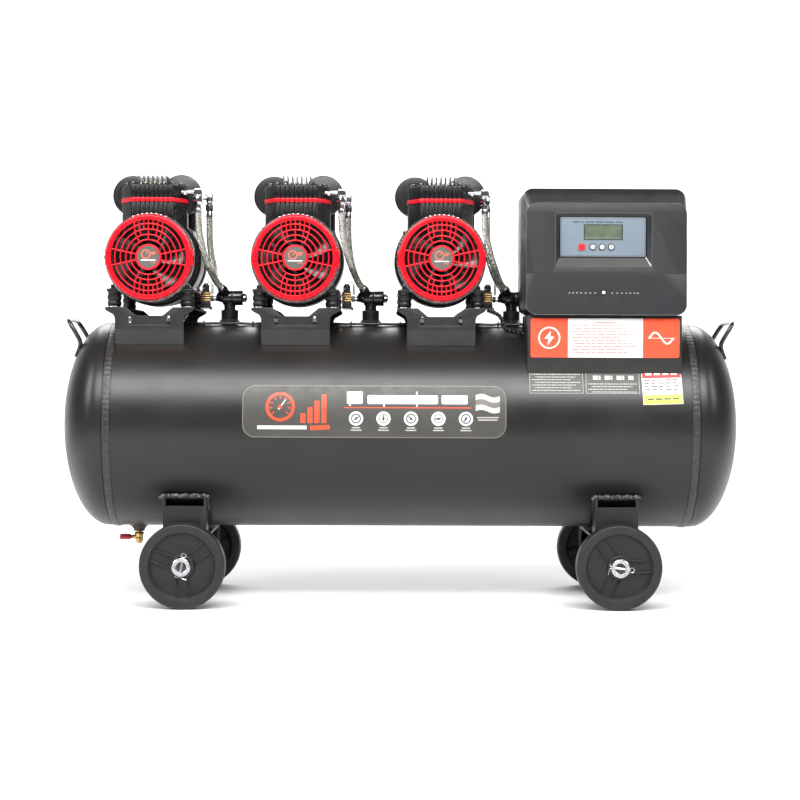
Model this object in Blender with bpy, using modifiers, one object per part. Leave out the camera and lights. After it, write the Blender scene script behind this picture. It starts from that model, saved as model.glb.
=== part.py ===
"""Air compressor: three oil-free twin-cylinder pumps on a horizontal tank with wheels.

Metres, +X along the tank, -Y to the front, +Z up. The origin is on the ground under the tank's middle.
"""

import math

import bmesh
import bpy
from mathutils import Matrix, Vector

GAP = 0.0003  # clearance between touching pieces

# Tank
TANK_RADIUS = 0.175
TANK_WALL = 0.003
TANK_AXIS_Z = 0.299
TANK_HALF_LENGTH = 0.5775
HEAD_DEPTH = 0.0770
HEAD_ANGLES = (0, 25, 48, 66, 80, 90)
SEAM_X = 0.4866
SEAM_HALF_WIDTH = 0.0070
SEAM_RISE = 0.0016
BOSS_RADIUS = 0.0147
BOSS_TOP_Z = 0.4966
BOSS_FLARE = 0.0215
BOSS_BORE = 0.0085
WELD_HEIGHT = 0.0080
DRAIN_X = -0.4525
DRAIN_BOSS_BOTTOM_Z = 0.1135
DRAIN_FLARE = 0.0185
DRAIN_BORE = 0.0060
OUTLET_X = 0.3350
OUTLET_Z = 0.3900
OUTLET_BOSS_Y = 0.1700
OUTLET_BOSS_RADIUS = 0.0150
OUTLET_BORE = 0.0080
SAFETY_X = 0.4400
SAFETY_BOSS_TOP_Z = 0.4860
SAFETY_BOSS_RADIUS = 0.0130
SAFETY_BORE = 0.0065

# Handles: half of the bar's centreline, as (x, y, z) points from a foot to the grip's middle
HANDLE_RADIUS = 0.0040
HANDLE_HALF_LINE = (
    (0.5545, 0.0550, 0.4160), (0.5506, 0.0550, 0.4250), (0.5465, 0.0550, 0.4340), (0.5470, 0.0550, 0.4430),
    (0.5540, 0.0550, 0.4560), (0.5620, 0.0530, 0.4680), (0.5665, 0.0460, 0.4750), (0.5680, 0.0330, 0.4772),
    (0.5682, 0.0150, 0.4776),
)

# Running gear
WHEEL_RADIUS = 0.0708  # across the flats of the tyre's tread
WHEEL_SIDES = 24
WHEEL_WIDTH = 0.036
WHEEL_X = 0.3596
WHEEL_OUTER_Y = 0.1890
WHEEL_HUB_RADIUS = 0.0195
WHEEL_WEB_RADIUS = 0.0540
WHEEL_WEB_DEPTH = 0.0110
WHEEL_SHOULDER = 0.0060
AXLE_RADIUS = 0.0110
AXLE_BORE = 0.0070
AXLE_HALF_LENGTH = 0.1990
COLLAR_RADIUS = 0.0150
COLLAR_WIDTH = 0.0100
BRACKET_HALF_WIDTH = 0.0362
BRACKET_Y = 0.1400
BRACKET_TOP_Z = 0.1800
BRACKET_SHEET = 0.004
BRACKET_BOTTOM_Z = 0.0480
BRACKET_PLATE_Z = 0.1120
BRACKET_WINDOW_Z = 0.1670
FLANGE_Y = 0.1050

# Pumps, with x counted from the pump's middle
PUMP_MIDDLE_X = -0.1775
PUMP_PITCH = 0.2440
SHAFT_Z = 0.5805
SADDLE_TOP_Z = 0.4978
SADDLE_FRONT_Y = 0.1180
SADDLE_SHEET = 0.0030
SADDLE_HALF_WIDTH = 0.0572
SADDLE_STRIP_X = 0.0390
EAR_HALF_WIDTH = 0.0743
EAR_DEPTH = 0.0060
CUTOUT_TOP_HALF = 0.0375
CUTOUT_FLOOR_HALF = 0.0230
CUTOUT_FLOOR_Z = 0.4845
MOUNT_X = 0.0610
MOUNT_Y = 0.0950
MOUNT_RADIUS = 0.0110
MOUNT_TOP_Z = 0.5240
BAR_HALF_WIDTH = 0.0120
BAR_THICKNESS = 0.0050
RAIL_INNER_X = 0.0070
STATOR_RADIUS = 0.0790
STATOR_HALF_DEPTH = 0.0320
CORE_HOLE_RADIUS = 0.0455
CORE_HALF_DEPTH = 0.0250
BLOCK_HALF_WIDTH = 0.0556
BLOCK_FACE_HALF_WIDTH = 0.0340
BLOCK_FRONT_Y = 0.0834
BLOCK_CORNER_Y = 0.0420
BLOCK_BACK_Y = 0.0260
BLOCK_TOP_Z = 0.6764
CASE_RADIUS = 0.0500
CASE_FRONT_Y = 0.1090
SUMP_RADIUS = 0.0380
CYLINDER_RADIUS = 0.0240
CYLINDER_Y = 0.0547
PUMP_FOOT = (0.0660, 0.0800, 0.1070, 0.5360)
HEAD_TOP_Z = 0.7050
FIN_TOP_Z = 0.7215
FINS = 7
FIN_PITCH = 0.0077
FIN_HALF_THICKNESS = 0.0009
FILTER_RADIUS = 0.0350
FILTER_DEPTH = 0.0245
FILTER_X = 0.0430
FILTER_Z = 0.6933
FILTER_NECK_RADIUS = 0.0120
FITTING_Y = 0.0540
FITTING_Z = 0.6950
FITTING_TOP_Z = 0.7015
FITTING_END_Z = 0.6620
FITTING_ARM_RADIUS = 0.0050
FITTING_RADIUS = 0.0072
FRONT_FITTING_X = 0.0752
BACK_FITTING_X = 0.0846
GUARD_RADIUS = 0.0715
GUARD_FRONT_Y = 0.1325
GUARD_BACK_Y = 0.1130
GUARD_RIM = 0.0100
GUARD_SHEET = 0.0030
GUARD_HUB_RADIUS = 0.0218
SPOKE_HALF_WIDTH = 0.0012
SPOKE_THICKNESS = 0.0022
SHAFT_RADIUS = 0.0060
SHAFT_BORE = 0.0064
CORE_RADIUS = 0.0425
CORE_REACH_Y = 0.0230
FAN_Y = 0.1110
FAN_RADIUS = 0.0600
FAN_HUB_RADIUS = 0.0170
FAN_BLADES = 6
BLADE_HALF_WIDTH = 0.0060
BLADE_HALF_THICKNESS = 0.0010
BLADE_ROOT = 0.0150
BLADE_PITCH = 38.0

# Hoses and check valves, with x counted from the pump's middle
HOSE_RADIUS = 0.0058
FRONT_HOSE = ((0.0756, 1.0, 0.6480), (0.0774, 1.0, 0.6262), (0.0845, 1.0, 0.5938), (0.0930, 0.90, 0.5683))
BACK_HOSE = ((0.0848, 1.0, 0.6480), (0.0854, 1.0, 0.6200), (0.0890, 1.0, 0.5900), (0.0955, 0.88, 0.5660))
HOSE_STRAIGHT_END = 0.0140
VALVE_OFFSET_X = 0.1250
VALVE_PORT_Z = 0.5165
VALVE_BODY_RADIUS = 0.0105
VALVE_BODY_RISE = 0.0120
BARREL_RADIUS = 0.0125
BARREL_X = (-0.0150, 0.0310)
UNLOADER_PIPE_RADIUS = 0.0050
UNLOADER_X = (-0.0495, -0.0330)
UNLOADER_Z = (0.4990, 0.5430)
UNLOADER_HALF_DEPTH = 0.0110
SOCKET_TIP = (0.0150, 0.0190, 0.0200)
SOCKET_RADIUS = 0.0070

# Drain, outlet and safety valve
DRAIN_LEVER_Z = 0.1030
DRAIN_PROFILE = ((0.0074, 0.1080), (0.0083, 0.1068), (0.0083, 0.0960), (0.0070, 0.0925), (0.0045, 0.0915))
DRAIN_STUB_X = 0.0110
DRAIN_LEVER_LENGTH = 0.0220
OUTLET_LEVER_Z = 0.4090
OUTLET_BODY_RADIUS = 0.0125
OUTLET_NUT_RADIUS = 0.0095
OUTLET_BODY_LENGTH = 0.0180
OUTLET_REACH = 0.0220
OUTLET_STEM_RADIUS = 0.0050
OUTLET_LEVER_SIZE = (0.0070, 0.0450, 0.0140, 0.0025)
SAFETY_HEIGHT = 0.0300
PULL_STEM_RADIUS = 0.0030
PULL_STEM_LENGTH = 0.0050
PULL_RING_RADIUS = 0.0100
PULL_WIRE_RADIUS = 0.0012

# Control box
BOX_LEFT_X = 0.2010
BOX_RIGHT_X = 0.4750
BOX_BOTTOM_Z = 0.4870
BOX_TOP_Z = 0.6990
BOX_BACK_Y = -0.0200
BOX_SPLIT_Y = -0.1130
BOX_FRONT_Y = -0.1600
BOX_WALL = 0.0028
GLAND_X = 0.4300
GLAND_Z = 0.5200
GLAND_RADIUS = 0.0085
GLAND_REACH = 0.0120
BOX_CORNER = 0.0180
FACE_CORNER = 0.0170
FACE_INSET = 0.0045
FACE_TOP_Z = 0.6715
FACE_FOLD_Z = 0.5544
FACE_LEAN = 0.0060
RECESS = (0.2530, 0.4130, 0.5665, 0.6555)
RECESS_BACKING = 0.0020
WINDOW = (0.2990, 0.3670, 0.6095, 0.6385)
PANEL = (0.2618, 0.4030, 0.5835, 0.6480)
PANEL_CORNER = 0.0030
PANEL_FRONT_Y = -0.1528
PANEL_THICKNESS = 0.0022
BUTTON_Z = 0.5992
POWER_BUTTON_X = 0.2971
SET_BUTTONS_X = (0.3153, 0.3306, 0.3459)
BUTTON_RADIUS = 0.0048
BUTTON_FRONT_Y = -0.1550
BUTTON_BACK_Y = -0.1440
BUTTON_FLANGE = (0.0022, 0.0018)
COVER_HOLE_GAP = 0.0016
PANEL_HOLE_GAP = 0.0004
STAND = (0.2086, 0.4646, -0.1500, -0.0300)
STAND_WALL = 0.002
BOARD_LOW = (0.2450, -0.1020, 0.5300)
BOARD_HIGH = (0.4300, -0.1004, 0.6700)
POST_INSET = 0.0070
POST_RADIUS = 0.0035
RELAYS_X = (0.2700, 0.3100, 0.3500)
RELAY_Z = (0.5500, 0.5700)
RELAY_WIDTH = 0.0200
RELAY_FRONT_Y = -0.1180

# Motor leads, lying along the tank's shoulder
HARNESS_RADIUS = 0.0026
HARNESS_Y = -0.0385
HARNESS_Z = TANK_AXIS_Z + math.sqrt(TANK_RADIUS**2 - HARNESS_Y**2) + HARNESS_RADIUS + 0.0006
HARNESS_START = 0.0300
HARNESS_STEPS = 12

COLORS = {
    "tank_paint": ((0.028, 0.026, 0.024), 0.38, 0.0),
    "bracket_paint": ((0.035, 0.033, 0.031), 0.50, 0.0),
    "zinc": ((0.62, 0.62, 0.60), 0.35, 1.0),
    "tyre": ((0.030, 0.029, 0.028), 0.75, 0.0),
    "rubber": ((0.015, 0.015, 0.015), 0.70, 0.0),
    "brass": ((0.62, 0.40, 0.14), 0.35, 1.0),
    "lever_red": ((0.45, 0.02, 0.03), 0.45, 0.0),
    "guard_red": ((0.80, 0.02, 0.035), 0.35, 0.0),
    "pump_black": ((0.020, 0.020, 0.020), 0.45, 0.0),
    "fan_black": ((0.010, 0.010, 0.010), 0.40, 0.0),
    "braid_steel": ((0.55, 0.52, 0.46), 0.35, 1.0),
    "box_plastic": ((0.032, 0.035, 0.042), 0.55, 0.0),
    "panel_grey": ((0.34, 0.40, 0.45), 0.50, 0.0),
    "button_dark": ((0.06, 0.06, 0.07), 0.50, 0.0),
    "board_green": ((0.02, 0.14, 0.06), 0.45, 0.0),
    "wire_black": ((0.015, 0.015, 0.015), 0.50, 0.0),
}


def clear_scene():
    for item in list(bpy.data.objects):
        bpy.data.objects.remove(item, do_unlink=True)


def make_collection(name):
    collection = bpy.data.collections.new(name)
    bpy.context.scene.collection.children.link(collection)
    return collection


def make_material(name):
    color, roughness, metallic = COLORS[name]
    material = bpy.data.materials.new(name)
    material.use_nodes = True
    shader = material.node_tree.nodes["Principled BSDF"]
    shader.inputs["Base Color"].default_value = (*color, 1.0)
    shader.inputs["Roughness"].default_value = roughness
    shader.inputs["Metallic"].default_value = metallic
    return material


clear_scene()
PARTS = make_collection("air_compressor")
MATERIALS = {name: make_material(name) for name in COLORS}


def add_object(name, mesh):
    item = bpy.data.objects.new(name, mesh)
    PARTS.objects.link(item)
    return item


def from_bmesh(name, shape, matrix):
    shape.transform(matrix)
    mesh = bpy.data.meshes.new(name)
    shape.to_mesh(mesh)
    shape.free()
    return add_object(name, mesh)


def box(name, low, high):
    """A box between two corners."""
    shape = bmesh.new()
    bmesh.ops.create_cube(shape, size=1.0)
    low = Vector(low)
    high = Vector(high)
    size = high - low
    matrix = Matrix.Translation((low + high) / 2) @ Matrix.Diagonal((*size, 1.0))
    return from_bmesh(name, shape, matrix)


def rod(name, start, end, radius, end_radius=None, sides=16):
    """A straight cylinder or cone from one point to another."""
    start = Vector(start)
    run = Vector(end) - start
    shape = bmesh.new()
    bmesh.ops.create_cone(
        shape, cap_ends=True, segments=sides, radius1=radius,
        radius2=radius if end_radius is None else end_radius, depth=run.length,
    )
    turn = Vector((0, 0, 1)).rotation_difference(run.normalized()).to_matrix().to_4x4()
    return from_bmesh(name, shape, Matrix.Translation(start + run / 2) @ turn)


def prism(name, outline, low, high, axis="Y"):
    """An outline in the plane across an axis, extruded along that axis between two heights."""
    curve = bpy.data.curves.new(name, "CURVE")
    curve.dimensions = "2D"
    curve.fill_mode = "BOTH"
    curve.extrude = (high - low) / 2
    spline = curve.splines.new("POLY")
    spline.points.add(len(outline) - 1)
    for point, (u, v) in zip(spline.points, outline):
        point.co = (u, v, 0.0, 1.0)
    spline.use_cyclic_u = True
    item = add_object(name, curve)
    middle = (low + high) / 2
    if axis == "Y":
        item.matrix_world = Matrix(((1, 0, 0, 0), (0, 0, -1, middle), (0, 1, 0, 0), (0, 0, 0, 1)))
    if axis == "Z":
        item.matrix_world = Matrix.Translation((0, 0, middle))
    return meshed(item)


def meshed(item):
    """The evaluated shape of an object as a plain mesh at the world's origin, with loose caps welded."""
    bpy.context.view_layer.update()
    graph = bpy.context.evaluated_depsgraph_get()
    mesh = bpy.data.meshes.new_from_object(item.evaluated_get(graph))
    name = item.name
    shape = bmesh.new()
    shape.from_mesh(mesh)
    shape.transform(item.matrix_world)
    bmesh.ops.remove_doubles(shape, verts=shape.verts, dist=0.000005)
    bmesh.ops.recalc_face_normals(shape, faces=shape.faces)
    shape.to_mesh(mesh)
    shape.free()
    bpy.data.objects.remove(item, do_unlink=True)
    solid = add_object(name, mesh)
    solid.name = name
    return solid


def turned(name, profile, steps=24, axis="Z", place=(0, 0, 0), phase=0.0):
    """A profile of (radius, height) points, from the axis at the top to the axis at the bottom, turned."""
    mesh = bpy.data.meshes.new(name)
    points = [(radius, 0.0, height) for radius, height in profile]
    mesh.from_pydata(points, [(i, i + 1) for i in range(len(points) - 1)], [])
    item = add_object(name, mesh)
    screw = item.modifiers.new("turn", "SCREW")
    screw.steps = steps
    screw.render_steps = steps
    screw.use_merge_vertices = True
    screw.merge_threshold = 0.00001
    turn = Matrix.Rotation(phase, 4, "Z")
    if axis == "Y":
        turn = Matrix.Rotation(math.radians(-90), 4, "X") @ turn
    if axis == "X":
        turn = Matrix.Rotation(math.radians(90), 4, "Y") @ turn
    item.matrix_world = Matrix.Translation(place) @ turn
    return meshed(item)


def combine(base, tools, operation):
    """A Boolean of the base with each tool, applied, with the tools removed."""
    for tool in tools:
        change = base.modifiers.new(operation.lower(), "BOOLEAN")
        change.operation = operation
        change.solver = "EXACT"
        change.object = tool
    result = meshed(base)
    for tool in tools:
        bpy.data.objects.remove(tool, do_unlink=True)
    return result


def join(base, *tools):
    return combine(base, tools, "UNION")


def carve(base, *tools):
    return combine(base, tools, "DIFFERENCE")


def tube(name, points, radius, resolution=2, closed=False):
    """A round bar or hose along a smooth run of points."""
    curve = bpy.data.curves.new(name, "CURVE")
    curve.dimensions = "3D"
    curve.bevel_depth = radius
    curve.bevel_resolution = resolution
    curve.use_fill_caps = True
    spline = curve.splines.new("POLY")
    spline.points.add(len(points) - 1)
    for point, place in zip(spline.points, points):
        point.co = (*place, 1.0)
    spline.use_cyclic_u = closed
    return meshed(add_object(name, curve))


def smooth_run(points, steps):
    """Points read from a Catmull-Rom curve through the given ones."""
    places = [Vector(point) for point in points]
    places = [places[0] * 2 - places[1]] + places + [places[-1] * 2 - places[-2]]
    run = []
    for a, b, c, d in zip(places, places[1:], places[2:], places[3:]):
        for step in range(steps):
            t = step / steps
            run.append(
                0.5 * (2 * b + (c - a) * t + (2 * a - 5 * b + 4 * c - d) * t**2
                       + (3 * b - a - 3 * c + d) * t**3)
            )
    run.append(places[-2])
    return run


def finish(item, material, pivot=None, angle=30):
    """One material, smooth round faces, and the origin at the pivot."""
    item.data.materials.clear()
    item.data.materials.append(MATERIALS[material])
    item.data.shade_smooth()
    item.data.set_sharp_from_angle(angle=math.radians(angle))
    if pivot is not None:
        item.data.transform(Matrix.Translation(-Vector(pivot)))
        item.location = pivot
    return item


def tank_top_z(y):
    return TANK_AXIS_Z + math.sqrt(TANK_RADIUS**2 - y**2)


def tank_cutter(start, end):
    """A bar just larger than the tank's shell, to cut what sits on it."""
    return rod("skin", (start, 0, TANK_AXIS_Z), (end, 0, TANK_AXIS_Z), TANK_RADIUS + GAP * 2, sides=64)


# Tank

def tank_outline(radius, half_length, depth, seams):
    """Half of a tank's outline, as (radius, place along the axis) points from one tip to the other."""
    straight = half_length - depth
    half = [
        (radius * math.sin(math.radians(a)), straight + depth * math.cos(math.radians(a)))
        for a in HEAD_ANGLES
    ]
    if seams:
        edge = SEAM_HALF_WIDTH
        raised = radius + SEAM_RISE
        half += [
            (radius, SEAM_X + edge), (raised, SEAM_X + edge * 0.7),
            (raised, SEAM_X - edge * 0.7), (radius, SEAM_X - edge),
        ]
    return half + [(r, -x) for r, x in reversed(half)]


def welded_boss(name, x, base_z, top_z, flare):
    """An upright or hanging boss with a flared weld at its base."""
    way = math.copysign(1, top_z - base_z)
    barrel = rod(name, (x, 0, base_z - way * 0.002), (x, 0, top_z), BOSS_RADIUS)
    weld = rod(name + "_weld", (x, 0, base_z - way * 0.0035), (x, 0, base_z + way * WELD_HEIGHT), flare,
               BOSS_RADIUS - 0.001)
    return join(barrel, weld)


def outlet_boss(name):
    surface_y = math.sqrt(TANK_RADIUS**2 - (OUTLET_Z - TANK_AXIS_Z) ** 2)
    return rod(name, (OUTLET_X, surface_y - 0.004, OUTLET_Z), (OUTLET_X, OUTLET_BOSS_Y, OUTLET_Z),
               OUTLET_BOSS_RADIUS)


def tank_skin(name, clearance, steps):
    """The tank's shape without its seams, grown by a clearance or shrunk by a wall."""
    line = tank_outline(TANK_RADIUS + clearance, TANK_HALF_LENGTH + clearance, HEAD_DEPTH + clearance, False)
    return turned(name, line, steps, "X", (0, 0, TANK_AXIS_Z))


def build_tank():
    line = tank_outline(TANK_RADIUS, TANK_HALF_LENGTH, HEAD_DEPTH, True)
    outer = turned("tank", line, 32, "X", (0, 0, TANK_AXIS_Z))
    ports = [pump_x(k) + VALVE_OFFSET_X for k in range(3)]
    bosses = [welded_boss("boss", x, tank_top_z(0), BOSS_TOP_Z, BOSS_FLARE) for x in ports]
    bosses.append(welded_boss("drain_boss", DRAIN_X, TANK_AXIS_Z - TANK_RADIUS, DRAIN_BOSS_BOTTOM_Z,
                              DRAIN_FLARE))
    bosses.append(rod("safety_boss", (SAFETY_X, 0, 0.460), (SAFETY_X, 0, SAFETY_BOSS_TOP_Z),
                      SAFETY_BOSS_RADIUS))
    bosses.append(outlet_boss("outlet_boss"))
    outer = join(outer, *bosses)
    bores = [rod("bore", (x, 0, 0.44), (x, 0, 0.52), BOSS_BORE, sides=12) for x in ports]
    bores.append(rod("drain_bore", (DRAIN_X, 0, 0.10), (DRAIN_X, 0, 0.16), DRAIN_BORE, sides=12))
    bores.append(rod("safety_bore", (SAFETY_X, 0, 0.44), (SAFETY_X, 0, 0.50), SAFETY_BORE, sides=12))
    bores.append(rod("outlet_bore", (OUTLET_X, 0.13, OUTLET_Z), (OUTLET_X, 0.19, OUTLET_Z), OUTLET_BORE,
                     sides=12))
    finish(carve(outer, tank_skin("hollow", -TANK_WALL, 16), *bores), "tank_paint")


def pump_x(k):
    return PUMP_MIDDLE_X + (k - 1) * PUMP_PITCH


# Handles

def build_handle(name, side):
    """A bent bar across the tank's shoulder: a grip, two legs and two feet bent out along the head."""
    whole = list(HANDLE_HALF_LINE) + [(x, -y, z) for x, y, z in reversed(HANDLE_HALF_LINE)]
    bar = tube(name, [(side * x, y, z) for x, y, z in whole], HANDLE_RADIUS)
    finish(carve(bar, tank_skin("skin", GAP, 48)), "bracket_paint")


# Running gear

def build_axle_bracket(name, x):
    """A cradle of bent sheet under the tank, with a flanged leg at the front and at the back."""
    half = BRACKET_HALF_WIDTH
    inside = half - BRACKET_SHEET
    beyond = half + 0.01
    plate_z = BRACKET_PLATE_Z
    plate_top = plate_z + BRACKET_SHEET
    top = BRACKET_TOP_Z
    block = box(name, (x - half, -BRACKET_Y, BRACKET_BOTTOM_Z), (x + half, BRACKET_Y, top + BRACKET_SHEET))
    rooms = [
        box("under", (x - beyond, -FLANGE_Y, 0.0300), (x + beyond, FLANGE_Y, plate_z)),
        box("over", (x - beyond, -FLANGE_Y, plate_top), (x + beyond, FLANGE_Y, 0.3000)),
    ]
    for side in (-1, 1):
        near, far = sorted((side * (FLANGE_Y - 0.01), side * (BRACKET_Y - BRACKET_SHEET)))
        rooms.append(box("low_room", (x - inside, near, 0.0300), (x + inside, far, plate_z - 0.0001)))
        rooms.append(box("high_room", (x - inside, near, plate_top + 0.0001), (x + inside, far, top)))
        near, far = sorted((side * (BRACKET_Y - 0.01), side * (BRACKET_Y + 0.01)))
        rooms.append(box("window", (x - inside + 0.0005, near, BRACKET_WINDOW_Z),
                         (x + inside - 0.0005, far, top - 0.0005)))
    hole = rod("hole", (x, -0.2, WHEEL_RADIUS), (x, 0.2, WHEEL_RADIUS), AXLE_RADIUS + GAP)
    finish(carve(block, *rooms, tank_cutter(x - 0.1, x + 0.1), hole), "bracket_paint")


def build_axle(name, x):
    """A tube with a collar near each end that carries the wheels, and a collar outside each wheel."""
    end = AXLE_HALF_LENGTH
    outer = WHEEL_OUTER_Y + GAP * 2
    inner = WHEEL_OUTER_Y - WHEEL_WIDTH - GAP * 2
    half = [
        (AXLE_BORE, end), (COLLAR_RADIUS, end), (COLLAR_RADIUS, outer), (AXLE_RADIUS, outer),
        (AXLE_RADIUS, inner), (COLLAR_RADIUS, inner), (COLLAR_RADIUS, inner + GAP * 2 - COLLAR_WIDTH),
        (AXLE_RADIUS, inner + GAP * 2 - COLLAR_WIDTH),
    ]
    loop = half + [(r, -y) for r, y in reversed(half)]
    finish(turned(name, loop + [loop[0]], 12, "Y", (x, 0, WHEEL_RADIUS)), "zinc")


def build_wheel(name, x, side):
    """A tyre, a recessed web and a hub bored for the axle."""
    half = WHEEL_WIDTH / 2
    web = half - WHEEL_WEB_DEPTH
    face = [
        (AXLE_RADIUS + GAP, half), (WHEEL_HUB_RADIUS, half), (WHEEL_HUB_RADIUS + 0.0010, web),
        (WHEEL_WEB_RADIUS, web), (WHEEL_WEB_RADIUS + 0.0010, half),
        (WHEEL_RADIUS / math.cos(math.pi / WHEEL_SIDES), half - WHEEL_SHOULDER),
    ]
    loop = face + [(radius, -h) for radius, h in reversed(face)]
    middle = (x, side * (WHEEL_OUTER_Y - half), WHEEL_RADIUS)
    wheel = turned(name, loop + [loop[0]], WHEEL_SIDES, "Y", middle, math.pi / WHEEL_SIDES)
    finish(wheel, "tyre", middle)


# Pumps

def build_saddle(name, x):
    """A bent sheet saddle: front and back plates on the tank, joined by two top strips that end in ears."""
    front = SADDLE_FRONT_Y
    sheet = SADDLE_SHEET
    top = SADDLE_TOP_Z
    body = SADDLE_HALF_WIDTH
    ear = EAR_HALF_WIDTH
    right = [
        (CUTOUT_FLOOR_HALF, CUTOUT_FLOOR_Z), (CUTOUT_TOP_HALF, top), (ear, top), (ear, top - EAR_DEPTH),
        (ear - 0.0030, top - EAR_DEPTH * 1.5), (body + 0.0060, top - EAR_DEPTH * 2),
        (body + 0.0015, top - EAR_DEPTH * 2.75), (body, top - 0.0230), (body, 0.4300),
    ]
    outline = [(x + u, v) for u, v in right] + [(x - u, v) for u, v in reversed(right)]
    plates = prism(name, outline, -front, -front + sheet)
    others = [prism("back", outline, front - sheet, front)]
    for side in (-1, 1):
        near, far = sorted((x + side * SADDLE_STRIP_X, x + side * (ear - 0.0010)))
        others.append(box("strip", (near, -front + 0.001, top - sheet), (far, front - 0.001, top - 0.0002)))
    finish(carve(join(plates, *others), tank_cutter(x - 0.1, x + 0.1)), "bracket_paint")


def build_feet(name, x):
    """Four rubber mounts under a foot frame of two cross bars and two rails."""
    low = MOUNT_TOP_Z
    high = low + BAR_THICKNESS
    reach = MOUNT_X + BAR_HALF_WIDTH
    near = MOUNT_Y - BAR_HALF_WIDTH
    far = MOUNT_Y + BAR_HALF_WIDTH
    frame = box(name, (x - reach, -far, low), (x + reach, -near, high))
    pieces = [box("bar", (x - reach, near, low), (x + reach, far, high))]
    for side in (-1, 1):
        left, right = sorted((x + side * (reach - 0.0002), x + side * (MOUNT_X + RAIL_INNER_X)))
        pieces.append(box("rail", (left, -MOUNT_Y, low + 0.0002), (right, MOUNT_Y, high - 0.0002)))
        for y in (-MOUNT_Y, MOUNT_Y):
            middle_x = x + side * MOUNT_X
            pieces.append(rod("mount", (middle_x, y, SADDLE_TOP_Z + GAP), (middle_x, y, low + 0.001),
                              MOUNT_RADIUS, sides=10))
    finish(join(frame, *pieces), "rubber")


def block_outline(x, side):
    """A cylinder block or head seen from above: flat at the front, with both front corners cut back."""
    half = [
        (BLOCK_FACE_HALF_WIDTH, BLOCK_FRONT_Y), (BLOCK_HALF_WIDTH, BLOCK_CORNER_Y),
        (BLOCK_HALF_WIDTH, BLOCK_BACK_Y),
    ]
    outline = [(x + u, side * v) for u, v in half] + [(x - u, side * v) for u, v in reversed(half)]
    return outline if side < 0 else outline[::-1]


def build_pump_body(name, x):
    """The motor's stator between two crankcases with their cylinders."""
    depth = STATOR_HALF_DEPTH
    stator = rod(name, (x, -depth, SHAFT_Z), (x, depth, SHAFT_Z), STATOR_RADIUS, sides=20)
    floor_z = MOUNT_TOP_Z + BAR_THICKNESS + GAP
    half_foot, foot_near, foot_far, foot_top = PUMP_FOOT
    pieces = []
    depth = CORE_HALF_DEPTH
    cutters = [
        rod("bore", (x, -0.2, SHAFT_Z), (x, 0.2, SHAFT_Z), SHAFT_BORE, sides=10),
        rod("core", (x, -depth, SHAFT_Z), (x, depth, SHAFT_Z), CORE_HOLE_RADIUS, sides=12),
    ]
    for side in (-1, 1):
        pieces.append(prism("block", block_outline(x, side), floor_z, BLOCK_TOP_Z, "Z"))
        pieces.append(rod("case", (x, side * 0.0500, SHAFT_Z), (x, side * CASE_FRONT_Y, SHAFT_Z), CASE_RADIUS,
                          sides=14))
        near, far = sorted((side * foot_near, side * foot_far))
        pieces.append(box("foot", (x - half_foot, near, floor_z + GAP * 0.2), (x + half_foot, far, foot_top)))
        y = side * CYLINDER_Y
        cutters.append(rod("cylinder", (x, y, SHAFT_Z + 0.0300), (x, y, BLOCK_TOP_Z + 0.01), CYLINDER_RADIUS,
                           sides=10))
        cutters.append(rod("sump", (x, side * 0.0400, SHAFT_Z), (x, side * 0.1000, SHAFT_Z), SUMP_RADIUS,
                           sides=10))
    finish(carve(join(stator, *pieces), *cutters), "pump_black")


def build_head(name, x, side, filter_side, fitting_x):
    """A finned cylinder head with its valve plate, air filter and outlet elbow."""
    back = side * BLOCK_BACK_Y
    low_y, high_y = sorted((back, side * BLOCK_FRONT_Y))
    head = prism(name, block_outline(x, side), BLOCK_TOP_Z + GAP, HEAD_TOP_Z, "Z")
    pieces = []
    for fin in range(FINS):
        middle = x + (fin - (FINS - 1) / 2) * FIN_PITCH
        pieces.append(box("fin", (middle - FIN_HALF_THICKNESS, low_y + 0.002, HEAD_TOP_Z - 0.001),
                          (middle + FIN_HALF_THICKNESS, high_y - 0.002, FIN_TOP_Z)))
    filter_x = x + filter_side * FILTER_X
    pieces.append(rod("filter", (filter_x, back - side * GAP, FILTER_Z),
                      (filter_x, back - side * FILTER_DEPTH, FILTER_Z), FILTER_RADIUS, sides=16))
    neck_z = FILTER_Z - 0.003
    pieces.append(rod("neck", (filter_x, back + side * 0.004, neck_z), (filter_x, back - side * 0.006, neck_z),
                      FILTER_NECK_RADIUS, sides=8))
    tap_y = side * FITTING_Y
    tap_x = x + fitting_x
    pieces.append(rod("arm", (x + BLOCK_FACE_HALF_WIDTH, tap_y, FITTING_Z), (tap_x, tap_y, FITTING_Z),
                      FITTING_ARM_RADIUS, sides=8))
    pieces.append(rod("elbow", (tap_x, tap_y, FITTING_TOP_Z), (tap_x, tap_y, FITTING_END_Z), FITTING_RADIUS,
                      sides=8))
    finish(join(head, *pieces), "pump_black")


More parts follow.
